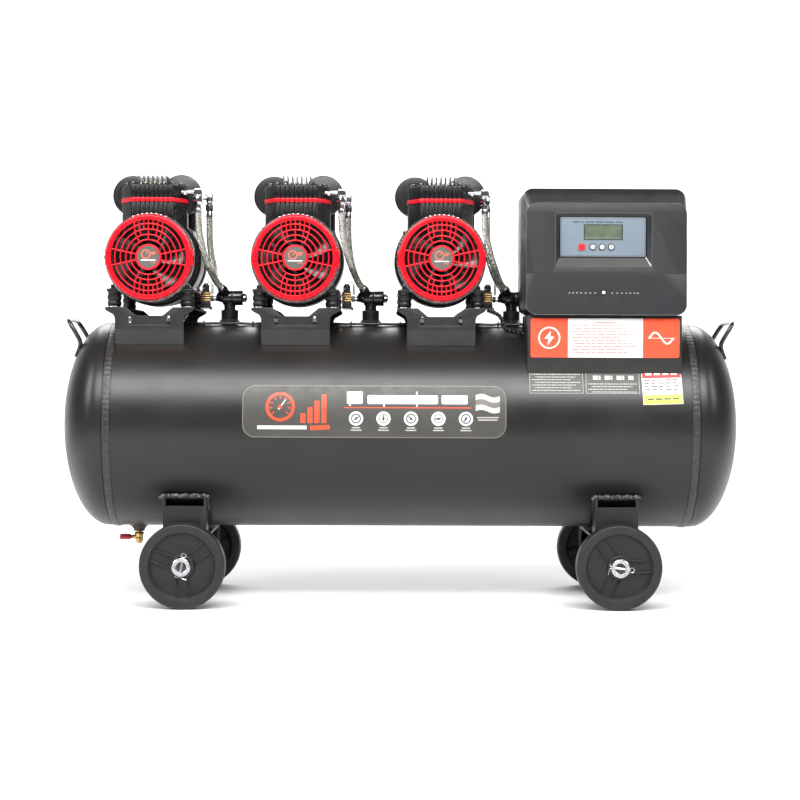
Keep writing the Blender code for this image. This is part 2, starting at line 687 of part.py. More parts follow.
def build_guard(name, x, side):
    """A cup with a round rim, a hub badge and four spokes in front of the fan."""
    front = side * GUARD_FRONT_Y
    r = GUARD_RADIUS
    depth = GUARD_FRONT_Y - GUARD_BACK_Y
    loop = [
        (r - GUARD_RIM, 0.0), (r - 0.0050, 0.0), (r, -0.0060), (r, -depth),
        (r - 0.0022, -depth), (r - 0.0040, -GUARD_SHEET), (r - GUARD_RIM, -GUARD_SHEET),
    ]
    loop = [(radius, front + side * height) for radius, height in loop]
    if side < 0:
        loop.reverse()
    guard = turned(name, loop + [loop[0]], 20, "Y", (x, 0, SHAFT_Z))
    pieces = [rod("hub", (x, front, SHAFT_Z), (x, front - side * GUARD_SHEET, SHAFT_Z), GUARD_HUB_RADIUS,
                  sides=12)]
    reach = r - GUARD_RIM + 0.0040
    low_y, high_y = sorted((front - side * 0.0004, front - side * (0.0004 + SPOKE_THICKNESS)))
    pieces.append(box("spoke", (x - reach, low_y, SHAFT_Z - SPOKE_HALF_WIDTH),
                      (x + reach, high_y, SHAFT_Z + SPOKE_HALF_WIDTH)))
    pieces.append(box("spoke", (x - SPOKE_HALF_WIDTH, low_y, SHAFT_Z - reach),
                      (x + SPOKE_HALF_WIDTH, high_y, SHAFT_Z + reach)))
    finish(join(guard, *pieces), "guard_red")


def build_rotor(name, x):
    """The shaft with the motor's core in the middle and a fan at each end."""
    reach = GUARD_FRONT_Y - 0.0050
    shaft = rod(name, (x, -reach, SHAFT_Z), (x, reach, SHAFT_Z), SHAFT_RADIUS, sides=10)
    pieces = [rod("core", (x, -CORE_REACH_Y, SHAFT_Z), (x, CORE_REACH_Y, SHAFT_Z), CORE_RADIUS, sides=12)]
    pitch = Matrix.Rotation(math.radians(BLADE_PITCH), 4, "Z")
    for side in (-1, 1):
        inner = side * FAN_Y
        outer = side * (reach - 0.0010)
        place = Matrix.Translation((x, (inner + outer) / 2, SHAFT_Z))
        pieces.append(rod("hub", (x, inner, SHAFT_Z), (x, outer, SHAFT_Z), FAN_HUB_RADIUS, sides=10))
        for blade in range(FAN_BLADES):
            vane = box("vane", (-BLADE_HALF_THICKNESS, -BLADE_HALF_WIDTH, BLADE_ROOT),
                       (BLADE_HALF_THICKNESS, BLADE_HALF_WIDTH, FAN_RADIUS))
            turn = Matrix.Rotation(math.radians(blade * 360 / FAN_BLADES), 4, "Y")
            vane.data.transform(place @ turn @ pitch)
            pieces.append(vane)
    finish(join(shaft, *pieces), "fan_black", (x, 0, SHAFT_Z))


def socket_point(side, beyond):
    """A point on a hose socket's axis, this far beyond its tip, seen from the pump's middle."""
    tip = Vector((-SOCKET_TIP[0], side * SOCKET_TIP[1], SOCKET_TIP[2]))
    return Vector((VALVE_OFFSET_X, 0, VALVE_PORT_Z)) + tip * (1 + beyond / tip.length)


def hose_run(x, side):
    """The route of a hose from a head's fitting down to the check valve."""
    start = FRONT_FITTING_X if side < 0 else BACK_FITTING_X
    bends = FRONT_HOSE if side < 0 else BACK_HOSE
    y = side * FITTING_Y
    route = [(start, y, FITTING_END_Z - GAP)] + [(u, y * share, w) for u, share, w in bends]
    route += [socket_point(side, HOSE_STRAIGHT_END), socket_point(side, GAP * 2)]
    return [(x + u, v, w) for u, v, w in smooth_run(route, 2)]


def build_hose(name, x, side):
    finish(tube(name, hose_run(x, side), HOSE_RADIUS), "braid_steel")


def build_check_valve(name, x):
    """A tee on the tank's boss with two hose sockets, an end nut, and a pipe to the unloader valve."""
    port = VALVE_PORT_Z
    body = rod(name, (x, 0, BOSS_TOP_Z + GAP), (x, 0, port + VALVE_BODY_RISE), VALVE_BODY_RADIUS, sides=10)
    near, far = UNLOADER_X
    low, high = UNLOADER_Z
    pieces = [
        rod("barrel", (x + BARREL_X[0], 0, port), (x + BARREL_X[1], 0, port), BARREL_RADIUS, sides=10),
        rod("pipe", (x + far - 0.0070, 0, port), (x + BARREL_X[0] + 0.0010, 0, port), UNLOADER_PIPE_RADIUS,
            sides=8),
        box("solenoid", (x + near, -UNLOADER_HALF_DEPTH, low), (x + far, UNLOADER_HALF_DEPTH, high)),
    ]
    for side in (-1, 1):
        tip = Vector((x - VALVE_OFFSET_X, 0, 0)) + socket_point(side, 0.0)
        pieces.append(rod("socket", (x, 0, port), tip, SOCKET_RADIUS, sides=8))
    finish(join(body, *pieces), "pump_black")


# Drain

def build_drain():
    """A small brass cock under the tank with a sleeved lever on its left."""
    top = DRAIN_BOSS_BOTTOM_Z - GAP
    z = DRAIN_LEVER_Z
    throat = DRAIN_PROFILE[0][0]
    profile = [(0.0, top), (throat, top), *DRAIN_PROFILE, (0.0, DRAIN_PROFILE[-1][1])]
    body = turned("drain_valve", profile, 14, "Z", (DRAIN_X, 0, 0))
    stub = rod("stub", (DRAIN_X - 0.0060, 0, z), (DRAIN_X - DRAIN_STUB_X, 0, z), 0.0040, sides=16)
    finish(join(body, stub), "brass")
    start = DRAIN_X - DRAIN_STUB_X - GAP
    lever = rod("drain_lever", (start, 0, z), (start - 0.0040, 0, z), 0.0042, sides=16)
    grip = rod("grip", (start - 0.0030, 0, z), (start - DRAIN_LEVER_LENGTH, 0, z), 0.0036, 0.0046, 16)
    wing = box("wing", (start - 0.0200, -0.0060, z - 0.0018), (start - 0.0080, 0.0060, z + 0.0018))
    finish(join(lever, grip, wing), "lever_red", (start, 0, z))


# Outlet and safety valve

def build_outlet():
    """A ball valve on the back of the tank with a flat lever above it."""
    x = OUTLET_X
    z = OUTLET_Z
    y = OUTLET_BOSS_Y + GAP
    stem_y = y + OUTLET_BODY_LENGTH / 2
    body = rod("outlet_valve", (x, y, z), (x, y + OUTLET_BODY_LENGTH, z), OUTLET_BODY_RADIUS, sides=6)
    pieces = [
        rod("nut", (x, y + 0.0040, z), (x, y + OUTLET_REACH, z), OUTLET_NUT_RADIUS, sides=16),
        rod("stem", (x, stem_y, z), (x, stem_y, OUTLET_LEVER_Z), OUTLET_STEM_RADIUS, sides=12),
    ]
    finish(join(body, *pieces), "brass")
    low = OUTLET_LEVER_Z + GAP
    behind, ahead, width, thickness = OUTLET_LEVER_SIZE
    lever = box("outlet_lever", (x - behind, stem_y - width / 2, low),
                (x + ahead, stem_y + width / 2, low + thickness))
    finish(lever, "lever_red", (x, stem_y, low))


def build_safety_valve():
    """A brass body on its boss, and a pull ring that lifts a short way."""
    x = SAFETY_X
    low = SAFETY_BOSS_TOP_Z + GAP
    height = SAFETY_HEIGHT
    profile = [
        (0.0, low + height), (0.0060, low + height), (0.0080, low + height - 0.0020), (0.0080, low + 0.0120),
        (0.0110, low + 0.0110), (0.0110, low + 0.0020), (0.0090, low), (0.0, low),
    ]
    finish(turned("safety_valve", profile, 16, "Z", (x, 0, 0)), "brass")
    top = low + height + GAP
    stem = rod("safety_pull", (x, 0, top), (x, 0, top + PULL_STEM_LENGTH), PULL_STEM_RADIUS, sides=12)
    middle = top + PULL_STEM_LENGTH + PULL_RING_RADIUS - 0.0010
    turns = [math.radians(a) for a in range(0, 360, 20)]
    loop = [(x + PULL_RING_RADIUS * math.sin(a), 0, middle - PULL_RING_RADIUS * math.cos(a)) for a in turns]
    finish(join(stem, tube("ring", loop, PULL_WIRE_RADIUS, 1, True)), "zinc", (x, 0, top))


# Control box

def rounded(left, right, low, high, radius, steps=4):
    """A rectangle with rounded corners, as (x, z) points."""
    points = []
    for cx, cz, start in (
        (right - radius, high - radius, 0), (left + radius, high - radius, 90),
        (left + radius, low + radius, 180), (right - radius, low + radius, 270),
    ):
        for step in range(steps + 1):
            a = math.radians(start + 90 * step / steps)
            points.append((cx + radius * math.cos(a), cz + radius * math.sin(a)))
    return points


def build_stand():
    """The wiring housing that carries the control box and sits on the tank."""
    left, right, front, back = STAND
    wall = STAND_WALL
    top = BOX_BOTTOM_Z - GAP
    body = box("control_stand", (left, front, 0.3700), (right, back, top))
    room = box("room", (left + wall, front + wall, 0.3600), (right - wall, back - wall, top - wall))
    wire = rod("wire", (left - 0.01, HARNESS_Y, HARNESS_Z), (left + 0.01, HARNESS_Y, HARNESS_Z),
               HARNESS_RADIUS + GAP, sides=16)
    finish(carve(body, room, tank_cutter(0.1, 0.6), wire), "box_plastic")


def box_outline(inset):
    return rounded(BOX_LEFT_X + inset, BOX_RIGHT_X - inset, BOX_BOTTOM_Z + inset, BOX_TOP_Z - inset,
                   BOX_CORNER - inset)


def build_box_shell():
    """The rear half of the control box, open at the front, with a cable gland at the back."""
    shell = prism("control_box_shell", box_outline(0.0), BOX_SPLIT_Y + GAP / 2, BOX_BACK_Y)
    room = prism("room", box_outline(BOX_WALL), BOX_SPLIT_Y - 0.01, BOX_BACK_Y - BOX_WALL)
    gland = rod("gland", (GLAND_X, BOX_BACK_Y - 0.001, GLAND_Z), (GLAND_X, BOX_BACK_Y + GLAND_REACH, GLAND_Z),
                GLAND_RADIUS, sides=16)
    finish(join(carve(shell, room), gland), "box_plastic")


def face_lean(z):
    """How far the face leans back at a height above its fold."""
    return FACE_LEAN * max(0.0, (z - FACE_FOLD_Z) / (FACE_TOP_Z - FACE_FOLD_Z))


def cover_form(name, inset):
    """The tapered front of the box: a loft from the split line to the leaning face."""
    sides = inset + FACE_INSET
    face = rounded(BOX_LEFT_X + sides, BOX_RIGHT_X - sides, BOX_BOTTOM_Z + inset, FACE_TOP_Z - inset,
                   FACE_CORNER - inset)
    front_y = BOX_FRONT_Y + inset
    back_y = BOX_SPLIT_Y - GAP / 2 + (0.01 if inset else 0.0)
    shape = bmesh.new()
    rings = [
        [shape.verts.new((u, back_y, v)) for u, v in box_outline(inset)],
        [shape.verts.new((u, front_y + face_lean(v), v)) for u, v in face],
    ]
    count = len(face)
    for i in range(count):
        j = (i + 1) % count
        shape.faces.new((rings[0][i], rings[0][j], rings[1][j], rings[1][i]))
    shape.faces.new(rings[0])
    shape.faces.new(rings[1])
    bmesh.ops.triangulate(shape, faces=shape.faces)
    bmesh.ops.recalc_face_normals(shape, faces=shape.faces)
    return from_bmesh(name, shape, Matrix.Identity(4))


def build_box_cover():
    """The tapered front cover, recessed for the panel and bored for the buttons."""
    left, right, low, high = RECESS
    floor_y = PANEL_FRONT_Y + PANEL_THICKNESS + GAP
    wall = RECESS_BACKING
    pocket = box("pocket", (left, BOX_FRONT_Y - 0.01, low), (right, floor_y, high))
    backing = box("backing", (left - wall, floor_y - 0.001, low - wall),
                  (right + wall, floor_y + 0.0025, high + wall))
    rim = box("rim", (left - wall, BOX_FRONT_Y + 0.001, low - wall), (right + wall, floor_y, high + wall))
    hollow = carve(cover_form("control_box_cover", 0.0), cover_form("room", BOX_WALL))
    filled = join(hollow, join(backing, rim))
    window = box("window", (WINDOW[0], -0.17, WINDOW[2]), (WINDOW[1], -0.13, WINDOW[3]))
    holes = [button_hole(x, COVER_HOLE_GAP) for x in (POWER_BUTTON_X, *SET_BUTTONS_X)]
    finish(carve(filled, pocket, window, *holes), "box_plastic")


def button_hole(x, clearance):
    return rod("hole", (x, -0.17, BUTTON_Z), (x, -0.13, BUTTON_Z), BUTTON_RADIUS + clearance, sides=12)


def build_panel():
    left, right, low, high = PANEL
    panel = prism("control_panel", rounded(left, right, low, high, PANEL_CORNER, 2), PANEL_FRONT_Y,
                  PANEL_FRONT_Y + PANEL_THICKNESS)
    holes = [button_hole(x, PANEL_HOLE_GAP) for x in (POWER_BUTTON_X, *SET_BUTTONS_X)]
    finish(carve(panel, *holes), "panel_grey")


def build_button(name, x, material):
    """A cap through the panel with a flange behind the cover."""
    overhang, thickness = BUTTON_FLANGE
    cap = rod(name, (x, BUTTON_FRONT_Y, BUTTON_Z), (x, BUTTON_BACK_Y - 0.0005, BUTTON_Z), BUTTON_RADIUS,
              sides=12)
    flange = rod("flange", (x, BUTTON_BACK_Y - thickness, BUTTON_Z), (x, BUTTON_BACK_Y, BUTTON_Z),
                 BUTTON_RADIUS + overhang, sides=12)
    finish(join(cap, flange), material, (x, BUTTON_FRONT_Y, BUTTON_Z))


def build_board():
    """The circuit board on four posts from the rear shell."""
    board = box("circuit_board", BOARD_LOW, BOARD_HIGH)
    low_x, front_y, low_z = BOARD_LOW
    high_x, back_y, high_z = BOARD_HIGH
    pieces = [
        rod("post", (x, (front_y + back_y) / 2, z), (x, BOX_BACK_Y - BOX_WALL - GAP, z), POST_RADIUS, sides=10)
        for x in (low_x + POST_INSET, high_x - POST_INSET) for z in (low_z + POST_INSET, high_z - POST_INSET)
    ]
    for x in RELAYS_X:
        pieces.append(box("relay", (x, RELAY_FRONT_Y, RELAY_Z[0]),
                          (x + RELAY_WIDTH, front_y + 0.0005, RELAY_Z[1])))
    finish(join(board, *pieces), "board_green")


# Wiring

def build_harness():
    """The motor leads in one sleeve along the tank's shoulder, into the side of the stand."""
    start = pump_x(0) - HARNESS_START
    end = STAND[0] + STAND_WALL + 0.0100
    places = [start + (end - start) * i / HARNESS_STEPS for i in range(HARNESS_STEPS + 1)]
    finish(tube("motor_leads", [(x, HARNESS_Y, HARNESS_Z) for x in places], HARNESS_RADIUS), "wire_black")


def main():
    build_tank()
    build_handle("handle_left", -1)
    build_handle("handle_right", 1)
    for side, word in ((-1, "left"), (1, "right")):
        x = side * WHEEL_X
        build_axle_bracket(f"axle_bracket_{word}", x)
        build_axle(f"axle_{word}", x)
        build_wheel(f"wheel_front_{word}", x, -1)
        build_wheel(f"wheel_back_{word}", x, 1)
    for k in range(3):
        x = pump_x(k)
        label = f"pump_{k + 1}"
        build_saddle(f"{label}_saddle", x)
        build_feet(f"{label}_feet", x)
        build_pump_body(f"{label}_body", x)
        build_head(f"{label}_head_front", x, -1, 1, FRONT_FITTING_X)
        build_head(f"{label}_head_back", x, 1, -1, BACK_FITTING_X)
        build_guard(f"{label}_guard_front", x, -1)
        build_guard(f"{label}_guard_back", x, 1)
        build_rotor(f"{label}_rotor", x)
        build_hose(f"{label}_hose_front", x, -1)
        build_hose(f"{label}_hose_back", x, 1)
        build_check_valve(f"{label}_check_valve", x + VALVE_OFFSET_X)
    build_drain()
    build_outlet()
    build_safety_valve()
    build_stand()
    build_box_shell()
    build_box_cover()
    build_panel()
    build_button("power_button", POWER_BUTTON_X, "lever_red")
    for number, x in enumerate(SET_BUTTONS_X):
        build_button(f"set_button_{number + 1}", x, "button_dark")
    build_board()
    build_harness()


main()
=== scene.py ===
"""Looks for the air compressor: detailed pieces, finishes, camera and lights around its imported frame."""

import math

import bmesh
import bpy
from mathutils import Matrix, Vector


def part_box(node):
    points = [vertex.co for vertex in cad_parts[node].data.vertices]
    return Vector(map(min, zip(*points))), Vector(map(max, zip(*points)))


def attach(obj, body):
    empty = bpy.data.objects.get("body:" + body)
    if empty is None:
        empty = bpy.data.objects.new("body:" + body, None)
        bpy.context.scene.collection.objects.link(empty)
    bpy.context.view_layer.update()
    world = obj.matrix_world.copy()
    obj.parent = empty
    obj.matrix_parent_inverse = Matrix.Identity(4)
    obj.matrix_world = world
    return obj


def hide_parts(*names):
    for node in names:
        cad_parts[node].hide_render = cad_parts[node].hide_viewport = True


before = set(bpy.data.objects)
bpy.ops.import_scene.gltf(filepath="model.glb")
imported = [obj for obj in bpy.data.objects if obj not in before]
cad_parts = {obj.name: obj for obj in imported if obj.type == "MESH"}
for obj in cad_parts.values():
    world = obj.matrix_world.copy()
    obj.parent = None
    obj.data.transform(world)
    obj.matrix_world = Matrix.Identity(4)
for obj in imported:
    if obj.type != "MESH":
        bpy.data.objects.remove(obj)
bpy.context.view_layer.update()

NOWHERE = Matrix.Identity(4)

# Driving dimensions in metres, as in the CAD
GAP = 0.0003
TANK_RADIUS = 0.175
TANK_AXIS_Z = 0.299
TANK_HALF_LENGTH = 0.5775
HEAD_DEPTH = 0.0770
SEAM_X = 0.4866
SEAM_HALF_WIDTH = 0.0070
HOSE_RADIUS = 0.0058
VALVE_OFFSET_X = 0.1250
VALVE_PORT_Z = 0.5165
SOCKET_TIP = (0.0150, 0.0190, 0.0200)
FITTING_Y = 0.0540
FITTING_Z = 0.6950
FITTING_END_Z = 0.6620
FRONT_FITTING_X = 0.0752
BACK_FITTING_X = 0.0846
FRONT_HOSE = ((0.0756, 1.0, 0.6480), (0.0774, 1.0, 0.6262), (0.0845, 1.0, 0.5938), (0.0930, 0.90, 0.5683))
BACK_HOSE = ((0.0848, 1.0, 0.6480), (0.0854, 1.0, 0.6200), (0.0890, 1.0, 0.5900), (0.0955, 0.88, 0.5660))
HOSE_STRAIGHT_END = 0.0140
BLOCK_TOP_Z = 0.6764
HEAD_TOP_Z = 0.7050
FIN_TOP_Z = 0.7215
FILTER_X = 0.0430
FILTER_Z = 0.6933
OUTLET_Z = 0.3900
PUMPS = (1, 2, 3)

# Camera
LENS = 85.84
CAMERA_PLACE = (-0.0308, -3.3097, 0.4080)
CAMERA_YAW = -0.0090
CAMERA_PITCH = -0.0200
CAMERA_ROLL = 0.0042
ROOM_LIGHT = 0.14


def middle(node):
    low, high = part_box(node)
    return (low + high) / 2


PUMP_X = {k: middle(f"pump_{k}_guard_front").x for k in PUMPS}
SHAFT_Z = middle("pump_1_guard_front").z


# Finishes

class Nodes:
    """Short ways to add and link shader nodes."""

    def __init__(self, material):
        self.tree = material.node_tree
        self.shader = self.tree.nodes["Principled BSDF"]
        self.place = self.add("ShaderNodeTexCoord").outputs["Object"]

    def add(self, kind, **values):
        node = self.tree.nodes.new(kind)
        for key, value in values.items():
            if key in node.inputs:
                node.inputs[key].default_value = value
            else:
                setattr(node, key, value)
        return node

    def link(self, source, target):
        self.tree.links.new(source, target)

    def noise(self, scale, detail=3.0, stretch=None):
        node = self.add("ShaderNodeTexNoise", Scale=scale, Detail=detail)
        self.link(self.stretched(stretch), node.inputs["Vector"])
        return node.outputs["Fac"]

    def stretched(self, stretch):
        if stretch is None:
            return self.place
        node = self.add("ShaderNodeMapping", Scale=stretch)
        self.link(self.place, node.inputs["Vector"])
        return node.outputs["Vector"]

    def ramp(self, source, low, high, to_low=0.0, to_high=1.0):
        node = self.add("ShaderNodeMapRange")
        self.link(source, node.inputs["Value"])
        for key, value in (("From Min", low), ("From Max", high), ("To Min", to_low), ("To Max", to_high)):
            node.inputs[key].default_value = value
        return node.outputs["Result"]

    def blend(self, factor, first, second):
        node = self.add("ShaderNodeMix", data_type="RGBA")
        self.link(factor, node.inputs["Factor"])
        for socket, color in ((node.inputs["A"], first), (node.inputs["B"], second)):
            self.feed(socket, color)
        return node.outputs["Result"]

    def feed(self, socket, value):
        if isinstance(value, bpy.types.NodeSocket):
            self.link(value, socket)
        elif isinstance(value, tuple):
            socket.default_value = (*value, 1.0)
        else:
            socket.default_value = value

    def bump(self, height, strength, distance, onto=None):
        node = self.add("ShaderNodeBump", Strength=strength, Distance=distance)
        self.link(height, node.inputs["Height"])
        if onto is not None:
            self.link(onto, node.inputs["Normal"])
        return node.outputs["Normal"]


def mixed(color, share, other):
    return tuple(a * (1 - share) + b * share for a, b in zip(color, other))


def scaled(color, share):
    return tuple(min(c * share, 0.95) for c in color)


def make_finish(name, color, rough, metal=0.0, vary=0.18, patch=22.0, grain=900.0, depth=0.00010,
                strength=0.25,
                spread=0.07, dust=0.0, coat=0.0, coat_rough=0.15, stretch=None, specular=0.5):
    """A surface whose colour and gloss drift in soft patches, with a fine grain and, if wanted, pale dust."""
    material = bpy.data.materials.new(name)
    material.use_nodes = True
    nodes = Nodes(material)
    inputs = nodes.shader.inputs
    patches = nodes.ramp(nodes.noise(patch, 4.0), 0.32, 0.68)
    base = nodes.blend(patches, scaled(color, 1 - vary), scaled(color, 1 + vary * 0.7))
    if dust:
        specks = nodes.ramp(nodes.noise(grain * 0.55, 6.0), 0.58, 0.80, 0.0, dust)
        base = nodes.blend(specks, base, mixed(color, 0.12, (0.8, 0.78, 0.75)))
    nodes.link(base, inputs["Base Color"])
    nodes.link(nodes.ramp(nodes.noise(patch * 2.7, 5.0), 0.3, 0.7, max(0.03, rough - spread), rough + spread),
               inputs["Roughness"])
    inputs["Metallic"].default_value = metal
    inputs["Specular IOR Level"].default_value = specular
    inputs["Coat Weight"].default_value = coat
    inputs["Coat Roughness"].default_value = coat_rough
    nodes.link(nodes.bump(nodes.noise(grain, 3.0, stretch), strength, depth), inputs["Normal"])
    return material


def make_braid():
    """Stainless wire braid: two opposed spirals of flat strands, over a tube unwrapped along its length."""
    material = make_finish("braid", (0.56, 0.52, 0.45), 0.30, metal=1.0, vary=0.25, patch=90, grain=2600)
    nodes = Nodes(material)
    unwrap = nodes.add("ShaderNodeUVMap", uv_map="along").outputs["UV"]
    shades = []
    for turn in (0.62, -0.62):
        lean = nodes.add("ShaderNodeMapping", Rotation=(0, 0, turn), Scale=(1, 1, 1))
        nodes.link(unwrap, lean.inputs["Vector"])
        wave = nodes.add("ShaderNodeTexWave", Scale=4.6)
        nodes.link(lean.outputs["Vector"], wave.inputs["Vector"])
        shades.append(wave.outputs["Fac"])
    woven = nodes.add("ShaderNodeMath", operation="MULTIPLY")
    nodes.link(shades[0], woven.inputs[0])
    nodes.link(shades[1], woven.inputs[1])
    dark = nodes.blend(nodes.ramp(woven.outputs[0], 0.0, 0.55), (0.30, 0.28, 0.24), (0.86, 0.84, 0.79))
    nodes.link(dark, nodes.shader.inputs["Base Color"])
    nodes.link(nodes.bump(woven.outputs[0], 0.6, 0.0004), nodes.shader.inputs["Normal"])
    return material


def make_striped(name, color, axis, pitch, depth, **values):
    """A finish with fine parallel lines across one axis, such as stacked sheets or brushing."""
    material = make_finish(name, color, **values)
    nodes = Nodes(material)
    wave = nodes.add("ShaderNodeTexWave", Scale=1 / pitch / 3.14159, Distortion=0.4, bands_direction=axis)
    nodes.link(nodes.place, wave.inputs["Vector"])
    old = nodes.shader.inputs["Base Color"].links[0].from_socket
    lines = nodes.ramp(wave.outputs["Fac"], 0.15, 0.55)
    nodes.link(nodes.blend(lines, mixed(color, 0.75, (0, 0, 0)), old), nodes.shader.inputs["Base Color"])
    nodes.link(nodes.bump(wave.outputs["Fac"], 0.7, depth), nodes.shader.inputs["Normal"])
    return material


FINISH = {
    "tank": make_finish("tank_paint", (0.0130, 0.0120, 0.0110), 0.33, vary=0.22, patch=5, grain=520,
                        depth=0.00022,
                        strength=0.16, spread=0.04, dust=0.05, specular=0.45),
    "bracket": make_finish("bracket_paint", (0.0150, 0.0142, 0.0132), 0.40, vary=0.2, patch=18, grain=650,
                           depth=0.00018, strength=0.22, dust=0.05),
    # A lighter metal finish for the rods on the fin edges: a painted highlight
    "edge": make_finish("fin_edge_highlight", (0.30, 0.29, 0.28), 0.36, metal=0.6, vary=0.3, patch=160, grain=1500),
    "weld": make_finish("weld_metal", (0.50, 0.48, 0.45), 0.32, metal=0.9, vary=0.5, patch=240, grain=1300,
                        depth=0.0004, strength=0.7),
    "zinc": make_finish("zinc_plate", (0.55, 0.56, 0.58), 0.24, metal=1.0, vary=0.22, patch=130, grain=2200),
    "chrome": make_finish("nickel_plate", (0.62, 0.64, 0.68), 0.12, metal=1.0, vary=0.12, patch=140,
                          grain=1800,
                          depth=0.00005, strength=0.12, spread=0.05),
    "steel_dark": make_finish("dark_steel", (0.16, 0.17, 0.19), 0.30, metal=0.9, vary=0.3, patch=120,
                              grain=1600),
    "brass": make_finish("brass", (0.66, 0.44, 0.17), 0.27, metal=1.0, vary=0.3, patch=110, grain=1700),
    "tyre": make_finish("tyre_rubber", (0.0130, 0.0130, 0.0130), 0.52, vary=0.3, patch=30, grain=1000,
                        depth=0.0003,
                        strength=0.35, dust=0.10),
    "web": make_finish("wheel_web", (0.0100, 0.0100, 0.0100), 0.44, vary=0.25, patch=45, grain=1400,
                       dust=0.06),
    "rubber": make_finish("mount_rubber", (0.0065, 0.0065, 0.0065), 0.42, vary=0.3, patch=60, grain=1200,
                          dust=0.08),
    "casting": make_finish("black_casting", (0.0065, 0.0062, 0.0062), 0.30, vary=0.25, patch=50, grain=900,
                           depth=0.0002, strength=0.25, specular=0.40),
    "moulding": make_finish("black_moulding", (0.0065, 0.0065, 0.0068), 0.38, vary=0.2, patch=60, grain=1500,
                            depth=0.00015, strength=0.3),
    "fan": make_finish("fan_blade", (0.004, 0.0035, 0.0035), 0.24, vary=0.2, patch=60, grain=1600),
    "red": make_finish("red_moulding", (0.70, 0.0035, 0.014), 0.30, vary=0.08, patch=34, grain=1900,
                       depth=0.00006,
                       strength=0.15, spread=0.05, coat=0.10, coat_rough=0.12, specular=0.35),
    "gasket": make_finish("red_plate", (0.68, 0.0035, 0.014), 0.34, vary=0.16, patch=120, grain=1500),
    "shell": make_finish("shell_plastic", (0.012, 0.012, 0.013), 0.38, vary=0.2, patch=14, grain=1300,
                         depth=0.00012, strength=0.25),
    "cover": make_finish("cover_plastic", (0.0120, 0.0128, 0.0150), 0.52, vary=0.12, patch=12, grain=1500,
                         depth=0.00018, strength=0.35, dust=0.05),
    "panel": make_finish("panel_print", (0.165, 0.205, 0.245), 0.42, vary=0.06, patch=20, grain=1700,
                         depth=0.00004,
                         strength=0.1),
    "print_dark": make_finish("panel_ink", (0.05, 0.06, 0.08), 0.45, vary=0.2, patch=160, grain=1500),
    "glass": make_finish("display_glass", (0.105, 0.130, 0.090), 0.12, vary=0.15, patch=60, grain=1800,
                         depth=0.00002,
                         strength=0.05, coat=0.8, coat_rough=0.04),
    "button_red": make_finish("button_red", (0.72, 0.015, 0.030), 0.38, vary=0.15, patch=240, grain=2200),
    "button_dark": make_finish("button_dark", (0.030, 0.034, 0.042), 0.40, vary=0.2, patch=240, grain=2200),
    "white": make_finish("print_white", (0.80, 0.79, 0.77), 0.42, vary=0.05, patch=60, grain=1700,
                         depth=0.00004,
                         strength=0.12),
    "orange": make_finish("print_orange", (0.86, 0.085, 0.035), 0.38, vary=0.08, patch=45, grain=1700,
                          depth=0.00004, strength=0.12),
    "grey_print": make_finish("print_grey", (0.060, 0.057, 0.050), 0.44, vary=0.12, patch=25, grain=1700,
                              depth=0.00004, strength=0.12),
    "pale_print": make_finish("print_pale", (0.50, 0.49, 0.45), 0.45, vary=0.10, patch=60, grain=1700),
    "pink_print": make_finish("print_pink", (0.50, 0.26, 0.22), 0.45, vary=0.08, patch=90, grain=1700),
    "lime": make_finish("print_lime", (0.62, 0.70, 0.10), 0.42, vary=0.10, patch=70, grain=1700,
                        depth=0.00004,
                        strength=0.12),
    "wire": make_finish("wire_sheath", (0.010, 0.010, 0.010), 0.28, vary=0.2, patch=80, grain=1400, coat=0.2),
    "board": make_finish("board_mask", (0.02, 0.13, 0.06), 0.35, vary=0.2, patch=120, grain=1500, coat=0.3),
    "coil": make_finish("coil_tape", (0.045, 0.030, 0.012), 0.45, vary=0.35, patch=120, grain=1500),
    # Near black for holes, slots and recesses: painted shade where the openings are
    "hole_shade": make_finish("painted_shade_in_holes", (0.004, 0.004, 0.004), 0.80, vary=0.2, patch=60, grain=900),
    "lever": make_finish("lever_sleeve", (0.50, 0.012, 0.022), 0.34, vary=0.15, patch=120, grain=1500,
                         coat=0.2),
    "lamination": make_striped("stacked_steel", (0.20, 0.20, 0.20), "Y", 0.0016, 0.0004, rough=0.34,
                               metal=0.9,
                               vary=0.25, patch=70, grain=1500),
    "braid": make_braid(),
}


# Shapes

def eased(points, size, steps=4, closed=False):
    """The same line with each corner turned into a short curve."""
    places = [Vector(point) for point in points]
    count = len(places)
    line = []
    for i, corner in enumerate(places):
        if not closed and i in (0, count - 1):
            line.append(corner)
            continue
        before = places[i - 1]
        after = places[(i + 1) % count]
        reach = min(size, (before - corner).length * 0.45, (after - corner).length * 0.45)
        start = corner + (before - corner).normalized() * reach
        end = corner + (after - corner).normalized() * reach
        for step in range(steps + 1):
            t = step / steps
            line.append(start * (1 - t) ** 2 + corner * (2 * t * (1 - t)) + end * t**2)
    return line


def smooth_run(points, steps):
    """Points read from a Catmull-Rom curve through the given ones."""
    places = [Vector(point) for point in points]
    places = [places[0] * 2 - places[1]] + places + [places[-1] * 2 - places[-2]]
    run = []
    for a, b, c, d in zip(places, places[1:], places[2:], places[3:]):
        for step in range(steps):
            t = step / steps
            run.append(
                0.5 * (2 * b + (c - a) * t + (2 * a - 5 * b + 4 * c - d) * t**2
                       + (3 * b - a - 3 * c + d) * t**3)
            )
    run.append(places[-2])
    return run


def along(axis, place=(0, 0, 0)):
    """Turns a shape made round +Z to lie round another axis at a place."""
    turn = NOWHERE
    if axis == "Y":
        turn = Matrix.Rotation(math.radians(-90), 4, "X")
    if axis == "-Y":
        turn = Matrix.Rotation(math.radians(90), 4, "X")
    if axis == "X":
        turn = Matrix.Rotation(math.radians(90), 4, "Y")
    if isinstance(axis, Vector):
        turn = Vector((0, 0, 1)).rotation_difference(axis).to_matrix().to_4x4()
    return Matrix.Translation(place) @ turn


